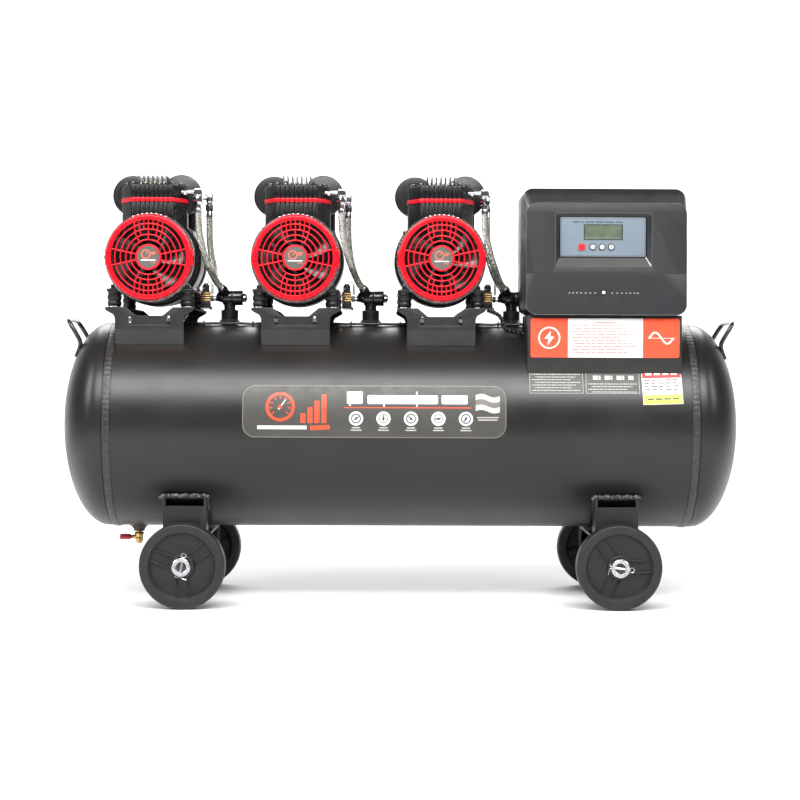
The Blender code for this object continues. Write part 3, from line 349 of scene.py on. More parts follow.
def frames_along(path, closed=False):
    """At each point of a path, the point and two directions across it that don't twist."""
    count = len(path)
    ways = []
    for i in range(count):
        ahead = path[(i + 1) % count] if closed else path[min(i + 1, count - 1)]
        behind = path[i - 1] if closed else path[max(i - 1, 0)]
        ways.append((ahead - behind).normalized())
    across = ways[0].orthogonal().normalized()
    result = []
    for point, way in zip(path, ways):
        across = (across - way * across.dot(way)).normalized()
        result.append((point, across, way.cross(across)))
    return result


class Form:
    """One piece, gathered from simple shapes that each have a finish."""

    def __init__(self, place=NOWHERE):
        self.place = place
        self.points = []
        self.faces = []
        self.marks = []
        self.finishes = []

    def add(self, points, faces, finish, turn=NOWHERE):
        matrix = self.place @ turn
        start = len(self.points)
        self.points += [matrix @ Vector(point) for point in points]
        if finish not in self.finishes:
            self.finishes.append(finish)
        mark = self.finishes.index(finish)
        for face in faces:
            self.faces.append([start + i for i in face])
            self.marks.append(mark)

    def take(self, shape, finish, turn=NOWHERE):
        shape.verts.index_update()
        points = [vert.co.copy() for vert in shape.verts]
        faces = [[vert.index for vert in face.verts] for face in shape.faces]
        shape.free()
        self.add(points, faces, finish, turn)

    def box(self, low, high, finish, soft=0.0006, steps=2, turn=NOWHERE):
        """A box with rounded edges."""
        shape = bmesh.new()
        bmesh.ops.create_cube(shape, size=1.0)
        low = Vector(low)
        high = Vector(high)
        shape.transform(Matrix.Translation((low + high) / 2) @ Matrix.Diagonal((*(high - low), 1.0)))
        if soft:
            bmesh.ops.bevel(shape, geom=shape.edges[:], offset=soft, segments=steps, profile=0.5,
                            affect="EDGES")
        self.take(shape, finish, turn)

    def turned(self, profile, finish, axis="Z", place=(0, 0, 0), steps=48, closed=False, wave=None):
        """A profile of (radius, height) points turned round an axis."""
        points = []
        rings = []
        for radius, height in profile:
            if radius < 0.00001:
                rings.append([len(points)])
                points.append((0, 0, height))
                continue
            rings.append(list(range(len(points), len(points) + steps)))
            for step in range(steps):
                a = math.tau * step / steps
                r = radius * (wave(a, height) if wave else 1.0)
                points.append((r * math.cos(a), r * math.sin(a), height))
        pairs = list(zip(rings, rings[1:]))
        if closed:
            pairs.append((rings[-1], rings[0]))
        faces = []
        for one, two in pairs:
            for step in range(steps):
                after = (step + 1) % steps
                corners = [one[step % len(one)], one[after % len(one)], two[after % len(two)],
                           two[step % len(two)]]
                corners = list(dict.fromkeys(corners))
                if len(corners) > 2:
                    faces.append(corners)
        self.add(points, faces, finish, along(axis, place))

    def rod(self, start, end, radius, finish, end_radius=None, steps=28, soft=0.0005):
        """A solid bar or cone from one point to another, with eased rims."""
        start = Vector(start)
        run = Vector(end) - start
        last = radius if end_radius is None else end_radius
        line = [(0, 0, 0), (radius, 0, 0), (last, 0, run.length), (0, 0, run.length)]
        profile = [(p.x, p.z) for p in eased(line, soft, 3)]
        self.turned(profile, finish, run.normalized(), start, steps)

    def ring(self, radius, width, depth, finish, place, steps=96, axis="Y", soft=0.0004):
        """A flat ring bar round an axis."""
        w = width / 2
        d = depth / 2
        line = [(radius - w, 0, -d), (radius + w, 0, -d), (radius + w, 0, d), (radius - w, 0, d)]
        profile = [(p.x, p.z) for p in eased(line, soft, 2, closed=True)]
        self.turned(profile, finish, axis, place, steps, closed=True)

    def sweep(self, path, radius, finish, sides=10, closed=False, squash=1.0):
        """A bar of round section along a path. The radius may be a function of the share of the way along."""
        path = [Vector(point) for point in path]
        points = []
        for i, (point, a, b) in enumerate(frames_along(path, closed)):
            r = radius(i / (len(path) - 1)) if callable(radius) else radius
            for side in range(sides):
                angle = math.tau * side / sides
                points.append(point + a * (r * math.cos(angle)) + b * (r * squash * math.sin(angle)))
        count = len(path)
        faces = []
        for i in range(count if closed else count - 1):
            j = (i + 1) % count
            for side in range(sides):
                after = (side + 1) % sides
                faces.append([i * sides + side, i * sides + after, j * sides + after, j * sides + side])
        if not closed:
            faces.append(list(range(sides)))
            faces.append([(count - 1) * sides + side for side in range(sides)])
        self.add(points, faces, finish)

    def slab(self, outline, low, high, finish, axis="Y", holes=(), soft=0.0004):
        """A flat outline in (x, z), with holes, made a plate between two places along an axis."""
        curve = bpy.data.curves.new("slab", "CURVE")
        curve.dimensions = "2D"
        curve.fill_mode = "BOTH"
        curve.bevel_depth = soft
        curve.bevel_resolution = 1
        curve.offset = -soft
        curve.extrude = max((high - low) / 2 - soft, 0.00001)
        for loop in (outline, *holes):
            spline = curve.splines.new("POLY")
            spline.points.add(len(loop) - 1)
            for point, place in zip(spline.points, loop):
                point.co = (place[0], place[1], 0.0, 1.0)
            spline.use_cyclic_u = True
        item = bpy.data.objects.new("slab", curve)
        bpy.context.scene.collection.objects.link(item)
        mesh = evaluated(item)
        bpy.data.objects.remove(item, do_unlink=True)
        center = (low + high) / 2
        turn = Matrix(((1, 0, 0, 0), (0, 0, -1, center), (0, 1, 0, 0), (0, 0, 0, 1)))
        if axis == "X":
            turn = Matrix(((0, 0, 1, center), (1, 0, 0, 0), (0, 1, 0, 0), (0, 0, 0, 1)))
        if axis == "Z":
            turn = Matrix.Translation((0, 0, center))
        shape = bmesh.new()
        shape.from_mesh(mesh)
        bmesh.ops.remove_doubles(shape, verts=shape.verts, dist=0.000002)
        self.take(shape, finish, turn)
        bpy.data.meshes.remove(mesh)

    def join_with(self, other):
        """Takes in everything gathered by another form."""
        start = len(self.points)
        self.points += other.points
        self.faces += [[start + i for i in face] for face in other.faces]
        for mark in other.marks:
            finish = other.finishes[mark]
            if finish not in self.finishes:
                self.finishes.append(finish)
            self.marks.append(self.finishes.index(finish))

    def mesh(self, name, angle):
        shape = bpy.data.meshes.new(name)
        shape.from_pydata(self.points, [], self.faces)
        for finish in self.finishes:
            shape.materials.append(FINISH[finish])
        shape.polygons.foreach_set("material_index", self.marks)
        edit = bmesh.new()
        edit.from_mesh(shape)
        bmesh.ops.recalc_face_normals(edit, faces=edit.faces)
        edit.to_mesh(shape)
        edit.free()
        shape.shade_smooth()
        shape.set_sharp_from_angle(angle=math.radians(angle))
        return shape

    def done(self, name, body, slot, replaces=(), angle=32):
        return placed(name, self.mesh(name, angle), body, replaces)


def evaluated(item):
    bpy.context.view_layer.update()
    graph = bpy.context.evaluated_depsgraph_get()
    return bpy.data.meshes.new_from_object(item.evaluated_get(graph))


def placed(name, mesh, body, replaces=()):
    item = bpy.data.objects.new(name, mesh)
    bpy.context.scene.collection.objects.link(item)
    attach(item, body)
    if replaces:
        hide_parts(*([replaces] if isinstance(replaces, str) else replaces))
    return item


def softened(form, node, finish, width):
    """Adds a CAD node's shape to a form with its edges rounded."""
    shape = bmesh.new()
    shape.from_mesh(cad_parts[node].data)
    bmesh.ops.remove_doubles(shape, verts=shape.verts, dist=0.000003)
    bmesh.ops.dissolve_limit(shape, angle_limit=math.radians(1.5), verts=shape.verts, edges=shape.edges)
    sharp = [e for e in shape.edges if len(e.link_faces) == 2 and e.calc_face_angle() > math.radians(28)]
    bmesh.ops.bevel(shape, geom=sharp, offset=width, segments=2, profile=0.5, affect="EDGES",
                    clamp_overlap=True)
    form.take(shape, finish)


def rounded(left, right, low, high, radius, steps=8):
    """A rectangle with rounded corners, as (x, z) points."""
    points = []
    for cx, cz, start in (
        (right - radius, high - radius, 0), (left + radius, high - radius, 90),
        (left + radius, low + radius, 180), (right - radius, low + radius, 270),
    ):
        for step in range(steps + 1):
            a = math.radians(start + 90 * step / steps)
            points.append((cx + radius * math.cos(a), cz + radius * math.sin(a)))
    return points




# Camera, lights and floor

def build_camera():
    camera = bpy.data.objects.new("camera", bpy.data.cameras.new("camera"))
    camera.data.lens = LENS
    camera.data.sensor_width = 36.0
    camera.data.clip_end = 60.0
    ahead = Vector((
        -math.sin(CAMERA_YAW) * math.cos(CAMERA_PITCH), math.cos(CAMERA_YAW) * math.cos(CAMERA_PITCH),
        math.sin(CAMERA_PITCH),
    ))
    right = Vector((math.cos(CAMERA_YAW), math.sin(CAMERA_YAW), 0))
    up = right.cross(ahead)
    turned_right = right * math.cos(CAMERA_ROLL) + up * math.sin(CAMERA_ROLL)
    turned_up = up * math.cos(CAMERA_ROLL) - right * math.sin(CAMERA_ROLL)
    turn = Matrix((turned_right, turned_up, -ahead)).transposed().to_4x4()
    camera.matrix_world = Matrix.Translation(CAMERA_PLACE) @ turn
    bpy.context.scene.collection.objects.link(camera)
    bpy.context.scene.camera = camera


def build_light(name, place, target, size, power, tint=(1, 1, 1)):
    data = bpy.data.lights.new(name, "AREA")
    data.shape = "RECTANGLE"
    data.size, data.size_y = size
    data.energy = power
    data.color = tint
    light = bpy.data.objects.new(name, data)
    light.location = place
    aim = Vector(target) - Vector(place)
    light.rotation_euler = aim.to_track_quat("-Z", "Y").to_euler()
    light.visible_camera = False
    bpy.context.scene.collection.objects.link(light)


def build_stage():
    """A pale floor that sweeps up into a backdrop, and soft light from above, both sides and the front."""
    side = 14.0
    sweep = [(-9.0, 0.0), (5.0, 0.0)]
    sweep += [(5.0 + 3.0 * math.sin(math.radians(a)), 3.0 - 3.0 * math.cos(math.radians(a))) for a in range(6,
                                                                                                       91, 6)]
    sweep.append((8.0, 9.0))
    points = [(x, y, z) for y, z in sweep for x in (-side, side)]
    faces = [[2 * i, 2 * i + 1, 2 * i + 3, 2 * i + 2] for i in range(len(sweep) - 1)]
    mesh = bpy.data.meshes.new("floor")
    mesh.from_pydata(points, [], faces)
    mesh.shade_smooth()
    floor = bpy.data.objects.new("floor", mesh)
    bpy.context.scene.collection.objects.link(floor)
    material = bpy.data.materials.new("floor_pale")
    material.use_nodes = True
    nodes = Nodes(material)
    tone = nodes.ramp(nodes.noise(0.7, 3.0), 0.3, 0.7)
    nodes.link(nodes.blend(tone, (0.90, 0.90, 0.90), (0.94, 0.94, 0.94)), nodes.shader.inputs["Base Color"])
    nodes.link(nodes.ramp(nodes.noise(30.0, 3.0), 0.3, 0.7, 0.55, 0.65), nodes.shader.inputs["Roughness"])
    nodes.shader.inputs["Specular IOR Level"].default_value = 0.2
    mesh.materials.append(material)
    world = bpy.data.worlds.new("studio")
    world.use_nodes = True
    tree = world.node_tree
    seen = tree.nodes.new("ShaderNodeLightPath").outputs["Is Camera Ray"]
    level = tree.nodes.new("ShaderNodeMapRange")
    level.inputs["To Min"].default_value = ROOM_LIGHT
    level.inputs["To Max"].default_value = 1.0
    tree.links.new(seen, level.inputs["Value"])
    tree.links.new(level.outputs["Result"], tree.nodes["Background"].inputs["Strength"])
    tree.nodes["Background"].inputs["Color"].default_value = (1.0, 1.0, 1.0, 1.0)
    bpy.context.scene.world = world
    bpy.context.scene.view_settings.view_transform = "Standard"
    build_light("main_light", (0.0, -2.3, 2.55), (0.0, 0.0, 0.35), (3.4, 1.3), 170.0)
    build_light("wall_light", (0.0, 4.2, 3.8), (0.0, 7.6, 1.2), (9.0, 2.0), 420.0)
    build_light("left_light", (-2.4, -1.0, 1.7), (0.0, 0.0, 0.4), (0.8, 1.2), 30.0)
    build_light("right_light", (2.4, -1.0, 1.7), (0.0, 0.0, 0.4), (0.8, 1.2), 20.0)
    build_light("rear_light", (0.0, 2.4, 2.4), (0.0, 0.0, 0.35), (3.4, 1.2), 80.0)


# Hoses

def socket_point(side, beyond):
    """A point on a hose socket's axis, this far beyond its tip, seen from the pump's middle."""
    tip = Vector((-SOCKET_TIP[0], side * SOCKET_TIP[1], SOCKET_TIP[2]))
    return Vector((VALVE_OFFSET_X, 0, VALVE_PORT_Z)) + tip * (1 + beyond / tip.length)


def hose_route(x, side, steps):
    start = FRONT_FITTING_X if side < 0 else BACK_FITTING_X
    bends = FRONT_HOSE if side < 0 else BACK_HOSE
    y = side * FITTING_Y
    route = [(start, y, FITTING_END_Z - GAP)] + [(u, y * share, w) for u, share, w in bends]
    route += [socket_point(side, HOSE_STRAIGHT_END), socket_point(side, GAP * 2)]
    return [Vector((x, 0, 0)) + point for point in smooth_run(route, steps)]


def build_hose(name, x, side, node):
    """A braided hose: a tube whose skin rises and falls with two opposed spirals of strands."""
    path = hose_route(x, side, 24)
    sides = 28
    points = []
    unwrap = []
    gone = 0.0
    for i, (point, a, b) in enumerate(frames_along(path)):
        gone += (point - path[i - 1]).length if i else 0.0
        for step in range(sides):
            angle = math.tau * step / sides
            weave = math.sin(7 * angle + gone * 1150) * math.sin(7 * angle - gone * 1150)
            radius = HOSE_RADIUS - 0.00012 + 0.00016 * weave
            points.append(point + (a * math.cos(angle) + b * math.sin(angle)) * radius)
            unwrap.append((step / sides * 7, gone / 0.0055))
    faces = []
    corners = []
    for i in range(len(path) - 1):
        for step in range(sides):
            after = (step + 1) % sides
            faces.append([i * sides + step, i * sides + after, (i + 1) * sides + after,
                          (i + 1) * sides + step])
            one = unwrap[i * sides + step]
            two = unwrap[(i + 1) * sides + step]
            wide = 7 / sides
            corners += [one, (one[0] + wide, one[1]), (two[0] + wide, two[1]), two]
    for ring in (0, len(path) - 1):
        faces.append([ring * sides + step for step in range(sides)])
        corners += [unwrap[ring * sides + step] for step in range(sides)]
    mesh = bpy.data.meshes.new(name)
    mesh.from_pydata(points, [], faces)
    layer = mesh.uv_layers.new(name="along")
    for spot, corner in zip(layer.data, corners):
        spot.uv = corner
    edit = bmesh.new()
    edit.from_mesh(mesh)
    bmesh.ops.recalc_face_normals(edit, faces=edit.faces)
    edit.to_mesh(mesh)
    edit.free()
    mesh.materials.append(FINISH["braid"])
    mesh.shade_smooth()
    hose = placed(name, mesh, "frame", node)


build_camera()
for k in PUMPS:
    build_hose(f"hose_front_{k}", PUMP_X[k], -1, f"pump_{k}_hose_front")
    build_hose(f"hose_back_{k}", PUMP_X[k], 1, f"pump_{k}_hose_back")
build_stage()


# Tank

def tank_y(z, lift=0.0):
    """How far forward the tank's skin is at a height, with something lifted off it."""
    return -math.sqrt(max((TANK_RADIUS + lift) ** 2 - (z - TANK_AXIS_Z) ** 2, 0.0))


def wrapped(form, outline, finish, lift=0.0004, holes=()):
    """A thin print on the tank's front, given by its outline in (x, z) as seen from the front."""
    flat = Form()
    flat.slab(outline, -0.0001, 0.0001, finish, "Y", holes, soft=0.0)
    shape = bmesh.new()
    verts = [shape.verts.new(point) for point in flat.points]
    for face in flat.faces:
        corners = [verts[i] for i in face]
        if all(corner.co.y < 0 for corner in corners):
            shape.faces.new(corners)
    heights = [point.z for point in flat.points]
    low = min(heights)
    slices = int((max(heights) - low) / 0.0025)
    for i in range(1, slices + 1):
        bmesh.ops.bisect_plane(shape, geom=shape.verts[:] + shape.edges[:] + shape.faces[:],
                               plane_co=(0, 0, low + i * 0.0025), plane_no=(0, 0, 1))
    loose = [vert for vert in shape.verts if not vert.link_faces]
    bmesh.ops.delete(shape, geom=loose, context="VERTS")
    for vert in shape.verts:
        vert.co.y = tank_y(vert.co.z, lift)
    form.take(shape, finish)


def tank_line(radius, half_length, depth):
    """Half of a tank's outline from the right tip to the middle: a domed head, then the straight shell."""
    straight = half_length - depth
    arc = [(radius * math.sin(math.radians(a)), straight + depth * math.cos(math.radians(a)))
           for a in range(0, 91, 3)]
    groove = SEAM_X + SEAM_HALF_WIDTH
    step = [
        (radius, groove + 0.0012), (radius - 0.0009, groove + 0.0008), (radius - 0.0009, groove + 0.0002),
        (radius + 0.0003, groove - 0.0004), (radius + 0.0004, SEAM_X - SEAM_HALF_WIDTH),
        (radius, SEAM_X - SEAM_HALF_WIDTH - 0.0003),
    ]
    return arc + step


def bead_wave(seed):
    """An uneven swelling round a weld bead."""
    def wave(angle, height):
        ripple = 0.5 + 0.5 * math.sin(angle * 118 + seed)
        slow = (math.sin(angle * 7 + seed) * math.sin(angle * 23 + seed * 2)
                * math.sin(angle * 41 + height * 900))
        return 1 + 0.0016 * ripple + 0.0016 * slow
    return wave


def build_tank():
    form = Form()
    half = tank_line(TANK_RADIUS, TANK_HALF_LENGTH, HEAD_DEPTH)
    whole = half + [(r, -x) for r, x in reversed(half)]
    form.turned(whole, "tank", "X", (0, 0, TANK_AXIS_Z), 144)
    for side in (-1, 1):
        bead = [(TANK_RADIUS - 0.0006, 0.0066), (TANK_RADIUS + 0.0009, 0.0054),
                (TANK_RADIUS + 0.0013, 0.0020),
                (TANK_RADIUS + 0.0013, -0.0020), (TANK_RADIUS + 0.0009, -0.0054),
                (TANK_RADIUS - 0.0006, -0.0066)]
        form.turned([(r, side * (SEAM_X + x)) for r, x in bead], "tank_weld", "X", (0, 0, TANK_AXIS_Z), 720,
                    closed=True, wave=bead_wave(1.0 + side))
    for k in PUMPS:
        boss(form, PUMP_X[k] + VALVE_OFFSET_X, 0, TANK_AXIS_Z + TANK_RADIUS, 1, 0.0147, 0.0226, 0.0235)
    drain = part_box("drain_valve")[1]
    boss(form, drain.x - 0.0083, 0, TANK_AXIS_Z - TANK_RADIUS, -1, 0.0098, 0.0105, 0.0190)
    safety = middle("safety_valve")
    boss(form, safety.x, 0, TANK_AXIS_Z + TANK_RADIUS, 1, 0.0130, 0.0120, 0.0185)
    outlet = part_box("outlet_valve")
    x, z = outlet[0].x * 0.5 + outlet[1].x * 0.5, OUTLET_Z
    form.rod((x, 0.140, z), (x, outlet[0].y - GAP, z), 0.0150, "tank", steps=40, soft=0.0015)
    ring = [(x + 0.0158 * math.cos(a), -tank_y(z + 0.0158 * math.sin(a)) - 0.0005, z + 0.0158 * math.sin(a))
            for a in [math.tau * i / 72 for i in range(72)]]
    form.sweep(ring, lumpy(0.0028, 0.0008, 3), "tank_weld", 8, closed=True)
    seam = [(-SEAM_X + 0.0080 + i * (2 * SEAM_X - 0.0160) / 420, 0.1213, 0.1729) for i in range(421)]
    form.sweep(seam, lumpy(0.0022, 0.0006, 5), "tank_weld", 8)
    form.done("tank_body", "frame", "tank_paint", "tank")


def lumpy(radius, rise, seed):
    """A bar radius that swells and shrinks along a weld."""
    def at(t):
        return radius + rise * (0.6 * math.sin(t * 260 + seed)
                                + 0.4 * math.sin(t * 83 + seed * 3) * math.sin(t * 31))
    return at


def boss(form, x, y, base_z, way, radius, height, flare):
    """A threaded boss with a fillet weld where it meets the tank."""
    top = base_z + way * height
    line = [(0, 0, base_z - way * 0.004), (radius, 0, base_z - way * 0.004), (radius, 0, top),
            (0.006, 0, top),
            (0.006, 0, top - way * 0.004), (0, 0, top - way * 0.004)]
    form.turned([(p.x, p.z) for p in eased(line, 0.0011, 3)], "tank", "Z", (x, y, 0), 48)
    fillet = [(flare, base_z - way * 0.0030), (flare - 0.0012, base_z + way * 0.0004),
              (radius + (flare - radius) * 0.42, base_z + way * 0.0022),
              (radius + 0.0008, base_z + way * 0.0060),
              (radius - 0.0010, base_z + way * 0.0072), (radius - 0.0010, base_z - way * 0.0030)]
    form.turned(fillet, "tank_weld", "Z", (x, y, 0), 72, closed=True,
                wave=lambda a, h: 1 + 0.012 * math.sin(a * 19 + h * 700) + 0.008 * math.sin(a * 31))


def build_handle(name, side):
    """A bent grip bar with two feet welded flat on the head."""
    half = [
        (0.5532, 0.0550, 0.4140), (0.5506, 0.0550, 0.4205), (0.5472, 0.0550, 0.4300),
            (0.5463, 0.0550, 0.4370),
        (0.5480, 0.0550, 0.4440), (0.5540, 0.0550, 0.4550), (0.5608, 0.0542, 0.4662),
            (0.5657, 0.0490, 0.4738),
        (0.5678, 0.0380, 0.4772), (0.5682, 0.0200, 0.4776),
    ]
    whole = half + [(x, -y, z) for x, y, z in reversed(half)]
    path = smooth_run([(side * x, y, z) for x, y, z in whole], 8)
    form = Form()
    form.sweep(path, 0.0040, "handle", 16)
    for y in (-0.0550, 0.0550):
        weld = [(side * (0.5458 - 0.0016 * math.cos(t)), y + 0.0052 * math.cos(t),
                 0.4300 + 0.0095 * math.sin(t))
                for t in [math.tau * i / 40 for i in range(40)]]
        form.sweep(weld, lumpy(0.0018, 0.0005, 2), "tank_weld", 7, closed=True)
    form.done(name + "_bar", "frame", "bracket_paint", name)


FINISH["tank_weld"] = make_finish("painted_weld", (0.030, 0.028, 0.026), 0.30, vary=0.35, patch=150,
                                  grain=620,
                                  depth=0.0008, strength=0.7, spread=0.10, dust=0.08)
FINISH["handle"] = make_finish("handle_paint", (0.022, 0.021, 0.020), 0.22, vary=0.2, patch=60, grain=900,
                               coat=0.4, coat_rough=0.12)
build_tank()
build_handle("handle_left", -1)
build_handle("handle_right", 1)


# Wheels and axles

def build_wheel(corner, side, angles):
    """A rubber tyre on a moulded wheel: a recessed web with three pairs of ribs and a hub."""
    low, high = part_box(f"wheel_{corner}")
    center = (low + high) / 2
    half = (high.y - low.y) / 2
    radius = (high.z - low.z) / 2 - 0.0001
    form = Form(Matrix.Translation(center) @ Matrix.Diagonal((1, side, 1, 1)))
    tread = [
        (0.0548, half - 0.0016), (0.0556, half - 0.0006), (0.0664, half), (0.0684, half - 0.0004),
        (0.0697, half - 0.0018), (0.0706, half - 0.0050), (radius, 0.0060),
    ]
    tyre = tread + [(r, -h) for r, h in reversed(tread)]
    tyre = [(r, 0, h) for r, h in tyre]
    form.turned([(p.x, p.z) for p in eased(tyre, 0.0012, 3, closed=True)], "tyre", "Y", steps=128,
                closed=True)
    web = [
        (0.0547, half - 0.0022), (0.0536, half - 0.0030), (0.0532, half - 0.0062), (0.0522, half - 0.0066),
        (0.0512, half - 0.0066), (0.0508, half - 0.0100), (0.0215, half - 0.0092), (0.0208, half - 0.0030),
        (0.0196, half - 0.0018), (0.0160, half - 0.0014), (0.0114, half - 0.0014),
    ]
    disc = [(r, 0, h) for r, h in web] + [(r, 0, -h) for r, h in reversed(web)]
    form.turned([(p.x, p.z) for p in eased(disc, 0.0007, 2, closed=True)], "web", "Y", steps=96, closed=True)
    for face in (1, -1):
        for angle in angles:
            for offset in (-0.0096, 0.0096):
                turn = Matrix.Rotation(math.radians(-angle), 4, "Y")
                form.box((0.0185, (half - 0.0101) * face, offset - 0.0018),
                         (0.0520, (half - 0.0062) * face, offset + 0.0018), "web", 0.0008, 3, turn)
                form.box((0.0190, (half - 0.0063) * face, offset - 0.0006),
                         (0.0515, (half - 0.0050) * face, offset + 0.0006), "web", 0.0003, 2, turn)
    form.done(f"tyre_{corner}", f"wheel_{corner}", "tyre", f"wheel_{corner}")


def build_axle(word, pin_angle):
    """A zinc tube through both wheels, collars, an end ring with a dark bore, and a split pin at each end."""
    low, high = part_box(f"axle_{word}")
    center = (low + high) / 2
    end = high.y
    wheel_low, wheel_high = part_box(f"wheel_back_{word}")
    outer = wheel_high.y
    inner = wheel_low.y
    form = Form(Matrix.Translation(center))
    half = [
        (0.0, end - 0.0070), (0.0088, end - 0.0070), (0.0090, end - 0.0006), (0.0098, end), (0.0140, end),
        (0.0151, end - 0.0008), (0.0152, outer + 0.0016), (0.0142, outer + 0.0006), (0.0109, outer + 0.0006),
        (0.0109, inner - 0.0006), (0.0150, inner - 0.0006), (0.0150, inner - 0.0100),
            (0.0109, inner - 0.0100),
    ]
    form.turned(half + [(r, -y) for r, y in reversed(half)], "zinc", "Y", steps=64)
    for side in (-1, 1):
        form.turned([(0.0, end - 0.0055), (0.0075, end - 0.0055), (0.0082, end - 0.0062),
                     (0.0, end - 0.0066)],
                    "grey_plug", "Y" if side > 0 else "-Y", steps=40)
        y = side * (outer + 0.0050)
        turn = Matrix.Rotation(math.radians(pin_angle), 4, "Y")
        eye = [turn @ Vector((0.0042 * math.sin(t), y, 0.0195 - 0.0036 * math.cos(t)))
               for t in [math.tau * i / 28 for i in range(28)]]
        form.sweep(eye, 0.0010, "zinc", 8, closed=True)
        for leg, lean in ((-1, 0.0072), (1, 0.0125)):
            bent = [(leg * 0.0010, y, 0.0165), (leg * 0.0010, y, 0.0), (leg * 0.0012, y, -0.0150),
                    (leg * 0.0045, y, -0.0175), (leg * lean, y, -0.0175 - 0.0016 * leg)]
            form.sweep([turn @ p for p in smooth_run(bent, 5)], 0.0009, "zinc", 8)
    form.done(f"axle_tube_{word}", "frame", "zinc", f"axle_{word}")


def build_axle_bracket(word):
    """The bent sheet cradle with an uneven weld along the top of each leg."""
    node = f"axle_bracket_{word}"
    low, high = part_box(node)
    form = Form()
    softened(form, node, "bracket", 0.0007)
    for side in (-1, 1):
        y = side * (high.y - 0.0012)
        count = 90
        line = [(low.x - 0.0042 + i * (high.x - low.x + 0.0084) / count,
                 y + side * 0.0006 * math.sin(i * 0.9),
                 high.z + 0.0004 + 0.0009 * math.sin(i * 0.33 + side) - 0.0030 * abs(i / count * 2 - 1) ** 8)
                for i in range(count + 1)]
        form.sweep(line, lumpy(0.0036, 0.0010, 2 + side), "weld", 10)
        for x in (low.x - 0.0006, high.x + 0.0006):
            drop = [(x, side * (high.y - 0.0040), high.z - 0.001),
                    (x, side * (high.y - 0.0150), high.z - 0.0085),
                    (x, side * (high.y - 0.0270), high.z - 0.0240)]
            form.sweep(smooth_run(drop, 14), lumpy(0.0024, 0.0006, 1), "tank_weld", 8)
    form.done(f"cradle_{word}", "frame", "bracket_paint", node)


FINISH["weld"] = make_finish("bright_weld", (0.13, 0.125, 0.12), 0.28, metal=0.8, vary=0.7, patch=130,
                             grain=420,
                             depth=0.0016, strength=0.9, spread=0.14)
FINISH["grey_plug"] = make_finish("grey_plug", (0.050, 0.050, 0.052), 0.5, vary=0.2, patch=120, grain=1500)
RIB_ANGLES = {"front_left": (160, 37, -88), "front_right": (125, 3, -115), "back_left": (30, 150, 270),
              "back_right": (75, 195, 315)}
for word in ("left", "right"):
    for row, side in (("front", -1), ("back", 1)):
        corner = f"{row}_{word}"
        build_wheel(corner, side, RIB_ANGLES[corner])
    build_axle(word, 12 if word == "left" else 97)
    build_axle_bracket(word)
# Prints on the tank

LABEL_LOW_Z = 0.2828
LABEL_HIGH_Z = 0.3687
LABEL_LEFT_X = -0.2619
LABEL_RIGHT_X = 0.1726
PLATE_HIGH_Z = 0.3970
PLATE_LOW_Z = 0.3570


def strip(left, right, low, high):
    return [(right, high), (left, high), (left, low), (right, low)]


def disc(x, z, radius, steps=32):
    return [(x + radius * math.cos(math.tau * i / steps), z + radius * math.sin(math.tau * i / steps))
            for i in range(steps)]


def text_row(form, left, right, z, height, finish, lift, seed):
    """A row of small bars where a plate has its small print."""
    x = left
    count = 0
    while x < right - height:
        width = min(height * (1.4 + (count * 7 + seed * 5) % 5), right - x)
        wrapped(form, strip(x, x + width, z, z + height), finish, lift)
        x += width + height * 0.8
        count += 1


def slanted(outline, x, z, turn):
    """An outline turned a little round a point."""
    c = math.cos(turn)
    s = math.sin(turn)
    return [(x + (u - x) * c - (v - z) * s, z + (u - x) * s + (v - z) * c) for u, v in outline]


